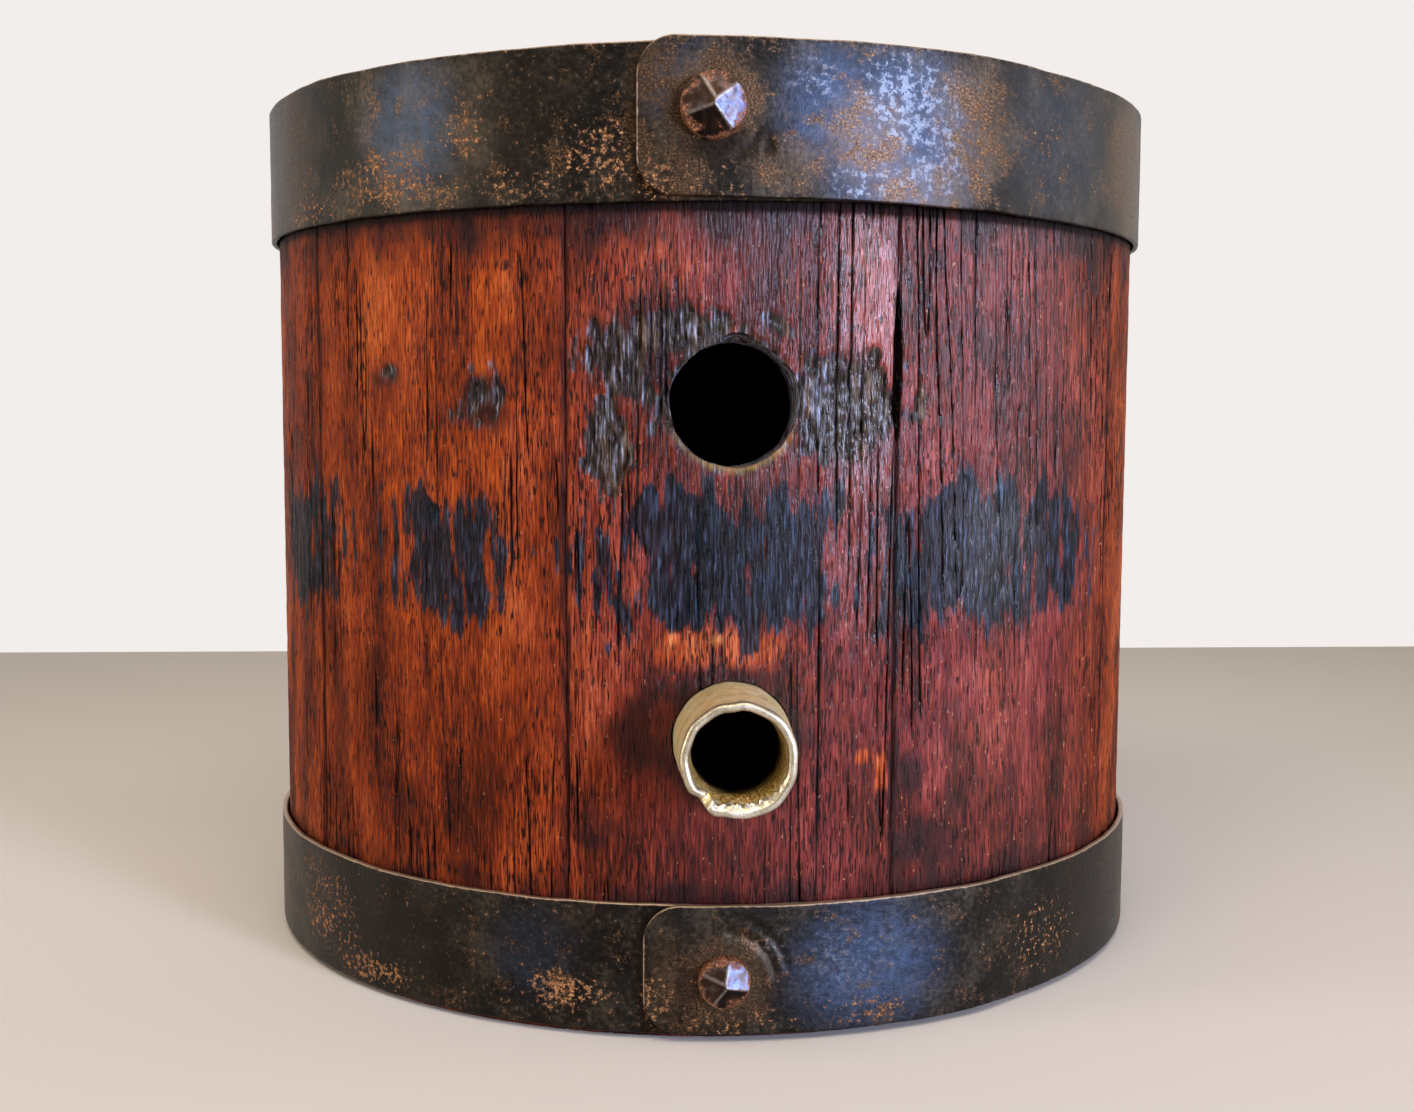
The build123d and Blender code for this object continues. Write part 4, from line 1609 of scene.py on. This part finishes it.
@dataclass
class HammeredRivet:
    """Head of a hoop's rivet. Sizes in millimetres, angles in degrees."""

    node: str
    turn: float
    spin: float
    seat: float = 102.6
    dent: float = 0.5

    def build(self, tree: Tree, material: Material) -> None:
        """Makes the head and puts it in the place of its solid.

        Args:
            tree: Tree that hammers the head.
            material: Finish of the rivet.
        """
        low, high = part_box(self.node)
        piece = new_piece(f"{self.node}_head", [(0.0, 0.0, 0.0)], ())
        sizes = {
            "Radius": (high.z - low.z) / 2,
            "Height": -low.y - self.seat * MM,
            "Turn": math.radians(self.turn),
            "Level": (high.z + low.z) / 2,
            "Spin": math.radians(self.spin),
            "Material": material,
        }
        grow(piece, tree, {**sizes, **lengths(self, "Seat", "Dent")})
        outward(piece, crease=70)
        place_piece(piece, "rivet_iron", self.node)


@dataclass
class DentedSpout:
    """Short brass tube with a battered lip. Millimetres, and degrees from the right, upwards."""

    height: float
    reach: float
    tail: float
    shell: float
    bore: float = 8.3
    root: float = 11.1
    lip: float = 10.5
    flare: float = 0.5
    slit_turn: float = 231.0
    slit_depth: float = 2.4
    crust_turn: float = 280.0
    columns: int = 180
    step: float = 0.55

    # Push outwards, direction and half angle of each bulge of the lip.
    BULGES = ((0.4, 312.0, 48.0), (0.15, 35.0, 30.0), (0.1, 143.0, 25.0))

    def profile(self) -> np.ndarray:
        """Closed section of the tube, as radius and distance from the keg's axis.

        Returns:
            The section from the tail along the outside to the lip and back through the bore.
        """
        mouth = self.bore + self.flare
        thick = self.lip - mouth
        straight = self.reach - thick / 2 - self.tail
        count = round(straight / self.step)
        along = np.array([self.tail + straight * index / count for index in range(count)])
        outside = self.root + (self.lip - self.root) * soft_step(along, self.shell, self.reach)
        inside = self.bore + self.flare * soft_step(along, self.reach - 7.0, self.reach - 1.0)
        rounded = np.radians(np.arange(0, 181, 18))
        edge = mouth + thick / 2 + thick / 2 * np.cos(rounded)
        ahead = self.reach - thick / 2 + thick / 2 * np.sin(rounded)
        radius = np.concatenate([outside, edge, inside[::-1]])
        return np.column_stack([radius, np.concatenate([along, ahead, along[::-1]])])

    def build(self, material: Material) -> None:
        """Makes the tube, batters its lip and puts it in the place of its solid.

        Args:
            material: Finish of the spout.
        """
        profile = self.profile()
        count = len(profile)
        turns = np.arange(self.columns) * math.tau / self.columns
        radius, along = (np.repeat(column[None, :], self.columns, axis=0) for column in profile.T)
        angle = np.repeat(np.degrees(turns)[:, None], count, axis=1)
        bend = np.radians(angle)
        inner = (radius < self.bore + self.flare + 0.05).astype(float)
        near_lip = soft_step(along, self.shell + 5.0, self.reach)

        def swell(middle: float, half: float) -> np.ndarray:
            """Soft rise round one direction of the lip."""
            off = np.abs((angle - middle + 180) % 360 - 180)
            return 1 - soft_step(off, 0.0, half)

        # The lip is flattened on top, bulges, and has a slit with one side pushed in and the other out.
        up = np.maximum(np.sin(np.radians(angle - 8)), 0.05)
        flat = np.minimum(1.0, 0.985 / up)
        radius = radius * (1 - near_lip * (1 - flat))
        radius = radius + near_lip * sum(push * swell(middle, half) for push, middle, half in self.BULGES)
        slit = swell(self.slit_turn, 7) * soft_step(along, self.reach - 6.0, self.reach - 0.5)
        along = along - self.slit_depth * slit
        radius = radius - 0.7 * swell(self.slit_turn - 7, 12) * near_lip
        radius = radius + 0.35 * swell(self.slit_turn + 15, 12) * near_lip
        wobble = np.sin(bend * 3 + 0.6) + 0.6 * np.sin(bend * 7 + 2.0)
        along = along + 0.12 * wobble * near_lip
        radius = radius + 0.06 * np.sin(bend * 11 + along * 0.9)
        # Crust lies in lumps at the bottom of the bore.
        crust = inner * swell(self.crust_turn, 80) * soft_step(along, self.reach - 11.0, self.reach - 4.0)
        lumps = np.sin(bend * 23 + along * 2.1) + np.sin(bend * 37 - along * 3.3 + 1.0)
        radius = radius - crust * (0.75 + 0.3 * lumps)
        x, z = radius * np.cos(bend), self.height + radius * np.sin(bend)
        points = np.stack([x, -along, z], axis=-1).reshape(-1, 3) * MM
        corner = np.arange(self.columns * count).reshape(self.columns, count)
        beyond = np.roll(corner, -1, axis=0)
        ring = [corner, np.roll(corner, -1, axis=1), np.roll(beyond, -1, axis=1), beyond]
        piece = new_piece("spout_tube", points, np.stack(ring, axis=-1).reshape(-1, 4).tolist())
        outward(piece, crease=60)
        piece.data.materials.append(material)
        set_attribute(piece, "grain", points / MM)
        set_attribute(piece, "lip", soft_step(along, self.reach - 2.6, self.reach - 0.8).ravel())
        # Crust inside near the lip, and painted shade deeper in the bore.
        for label, start, stop in (("inside", 3.0, 1.2), ("deep", 14.0, 7.0)):
            shown = inner * (1 - soft_step(along, self.reach - start, self.reach - stop))
            set_attribute(piece, label, shown.ravel())
        place_piece(piece, "spout_brass", "spout")


class Studio:
    """Plain pale table top, soft light and the camera at the photograph's place. Metres and degrees."""

    CAMERA = (-0.0217, -0.4007, 0.1182)
    PITCH = 5.02
    TURN = -3.205
    ROLL = 0.22
    LENS = 41.56
    SENSOR = 36.0
    FLOOR = "#cbc4bc"
    WALL = "#f3eeeb"
    ROOM = "#7a7672"

    def build(self) -> None:
        """Makes the floor, the lights, the world and the camera."""
        self.floor()
        self.world()
        beside = (0.0, -0.04, 0.16)
        self.lamp("window", (0.62, -0.83, 0.25), (0.0, -0.08, 0.16), (0.20, 0.40), 1.82, "#ccd8fd", 55.0)
        self.lamp("left_window", (-0.95, -0.29, 0.26), beside, (0.30, 0.42), 0.72, "#f8ecdc", 60.0)
        self.lamp("right_wall", (0.95, -0.05, 0.30), beside, (0.45, 0.45), 0.45, "#f1eeec", 70.0)
        self.lamp("overhead", (-0.10, -0.55, 0.95), (0.0, -0.02, 0.08), (0.9, 0.7), 8.5, "#fff4e6")
        self.camera()

    def floor(self) -> None:
        """Makes the plain pale floor."""
        side, near, far, level = 1.6, -1.6, 0.41, -0.0002
        corners = [(-side, near, level), (side, near, level), (side, far, level), (-side, far, level)]
        piece = new_piece("studio_floor", corners, [(0, 1, 2, 3)])
        # Matt paper gives the eye an even pale ground without a glint.
        paper, _ = new_material("studio_paper_matt")
        parts = {"Base Color": linear(self.FLOOR), "Roughness": 0.9, "Specular IOR Level": 0.05}
        piece.data.materials.append(end_material(paper, parts))

    def world(self) -> None:
        """Makes the surroundings: pale behind the keg, dimmer behind the camera."""
        world = bpy.data.worlds.new("studio")
        bpy.context.scene.world = world
        world.use_nodes = True
        world.node_tree.nodes.clear()
        add = partial(add_node, world.node_tree)
        way = add(SEPARATE, add("ShaderNodeTexCoord").outputs["Generated"])
        behind = add(SMOOTH_RANGE, way.outputs["Y"], -0.1, 0.8)
        colour = add(BLEND, behind, linear(self.ROOM), linear(self.WALL))
        add("ShaderNodeOutputWorld", add("ShaderNodeBackground", colour, 1.0))

    def lamp(
        self,
        name: str,
        place: tuple[float, float, float],
        aim: tuple[float, float, float],
        size: Pair,
        power: float,
        colour: str,
        spread: float = 180.0,
    ) -> None:
        """Adds one soft rectangular lamp.

        Args:
            name: Name of the lamp.
            place: Where it stands.
            aim: Point that it faces.
            size: Width and height of its face.
            power: Power in watts.
            colour: Hex colour of its light.
            spread: Angle in degrees that its light fans out through.
        """
        data = bpy.data.lights.new(name, "AREA")
        data.shape = "RECTANGLE"
        data.size, data.size_y = size
        data.energy = power
        data.color = linear(colour)[:3]
        data.spread = math.radians(spread)
        lamp = bpy.data.objects.new(name, data)
        lamp.location = place
        lamp.rotation_euler = (Vector(aim) - Vector(place)).to_track_quat("-Z", "Y").to_euler()
        bpy.context.scene.collection.objects.link(lamp)

    def camera(self) -> None:
        """Sets the camera where the photograph was taken from."""
        data = bpy.data.cameras.new("photo_view")
        data.sensor_width = self.SENSOR
        data.lens = self.LENS
        data.clip_start = 0.01
        camera = bpy.data.objects.new("photo_view", data)
        turn = Matrix.Rotation(math.radians(self.TURN), 3, "Z")
        tilt = Matrix.Rotation(math.radians(90 - self.PITCH), 3, "X")
        roll = Matrix.Rotation(math.radians(self.ROLL), 3, "Z")
        camera.rotation_euler = (turn @ tilt @ roll).to_euler()
        camera.location = self.CAMERA
        bpy.context.scene.collection.objects.link(camera)
        bpy.context.scene.camera = camera


def dress_solid(node: str, material: Material) -> None:
    """Gives a solid that stays in view its finish.

    Args:
        node: Name of the solid.
        material: Its finish.
    """
    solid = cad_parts[node]
    solid.data.materials.clear()
    solid.data.materials.append(material)
    LOG.info("%s: dressed in %s", node, material.name)


def main() -> None:
    """Builds the keg's pieces in order, then the studio."""
    logging.basicConfig(level=logging.INFO, format="%(name)s %(message)s")
    bpy.context.scene.view_settings.view_transform = "Standard"
    low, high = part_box("bung_stave")
    shell = StaveShell(-low.y / MM, high.z / MM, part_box("top_hoop")[0].z / MM)
    shell.build(StainedOak().material())
    iron = HoopIron().material()
    bend = hoop_tree()
    for hoop in hoops():
        hoop.build(bend, iron)
    head_oak, shape = HEAD_OAK.material(), board_tree()
    dowel_oak = DowelOak().material()
    for end in ("top", "bottom"):
        HeadBoards(end).build(shape, head_oak)
        dress_solid(f"{end}_head_dowels", dowel_oak)
    rivet_iron, hammer = RivetIron().material(), rivet_tree()
    HammeredRivet("top_hoop_rivet", turn=-2.3, spin=0.0).build(hammer, rivet_iron)
    HammeredRivet("bottom_hoop_rivet", turn=-0.8, spin=40.0).build(hammer, rivet_iron)
    low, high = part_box("spout")
    tube = DentedSpout((low.z + high.z) / 2 / MM, -low.y / MM, -high.y / MM, shell.radius)
    tube.build(SpoutBrass().material())
    Studio().build()


if __name__ == "__main__":
    main()
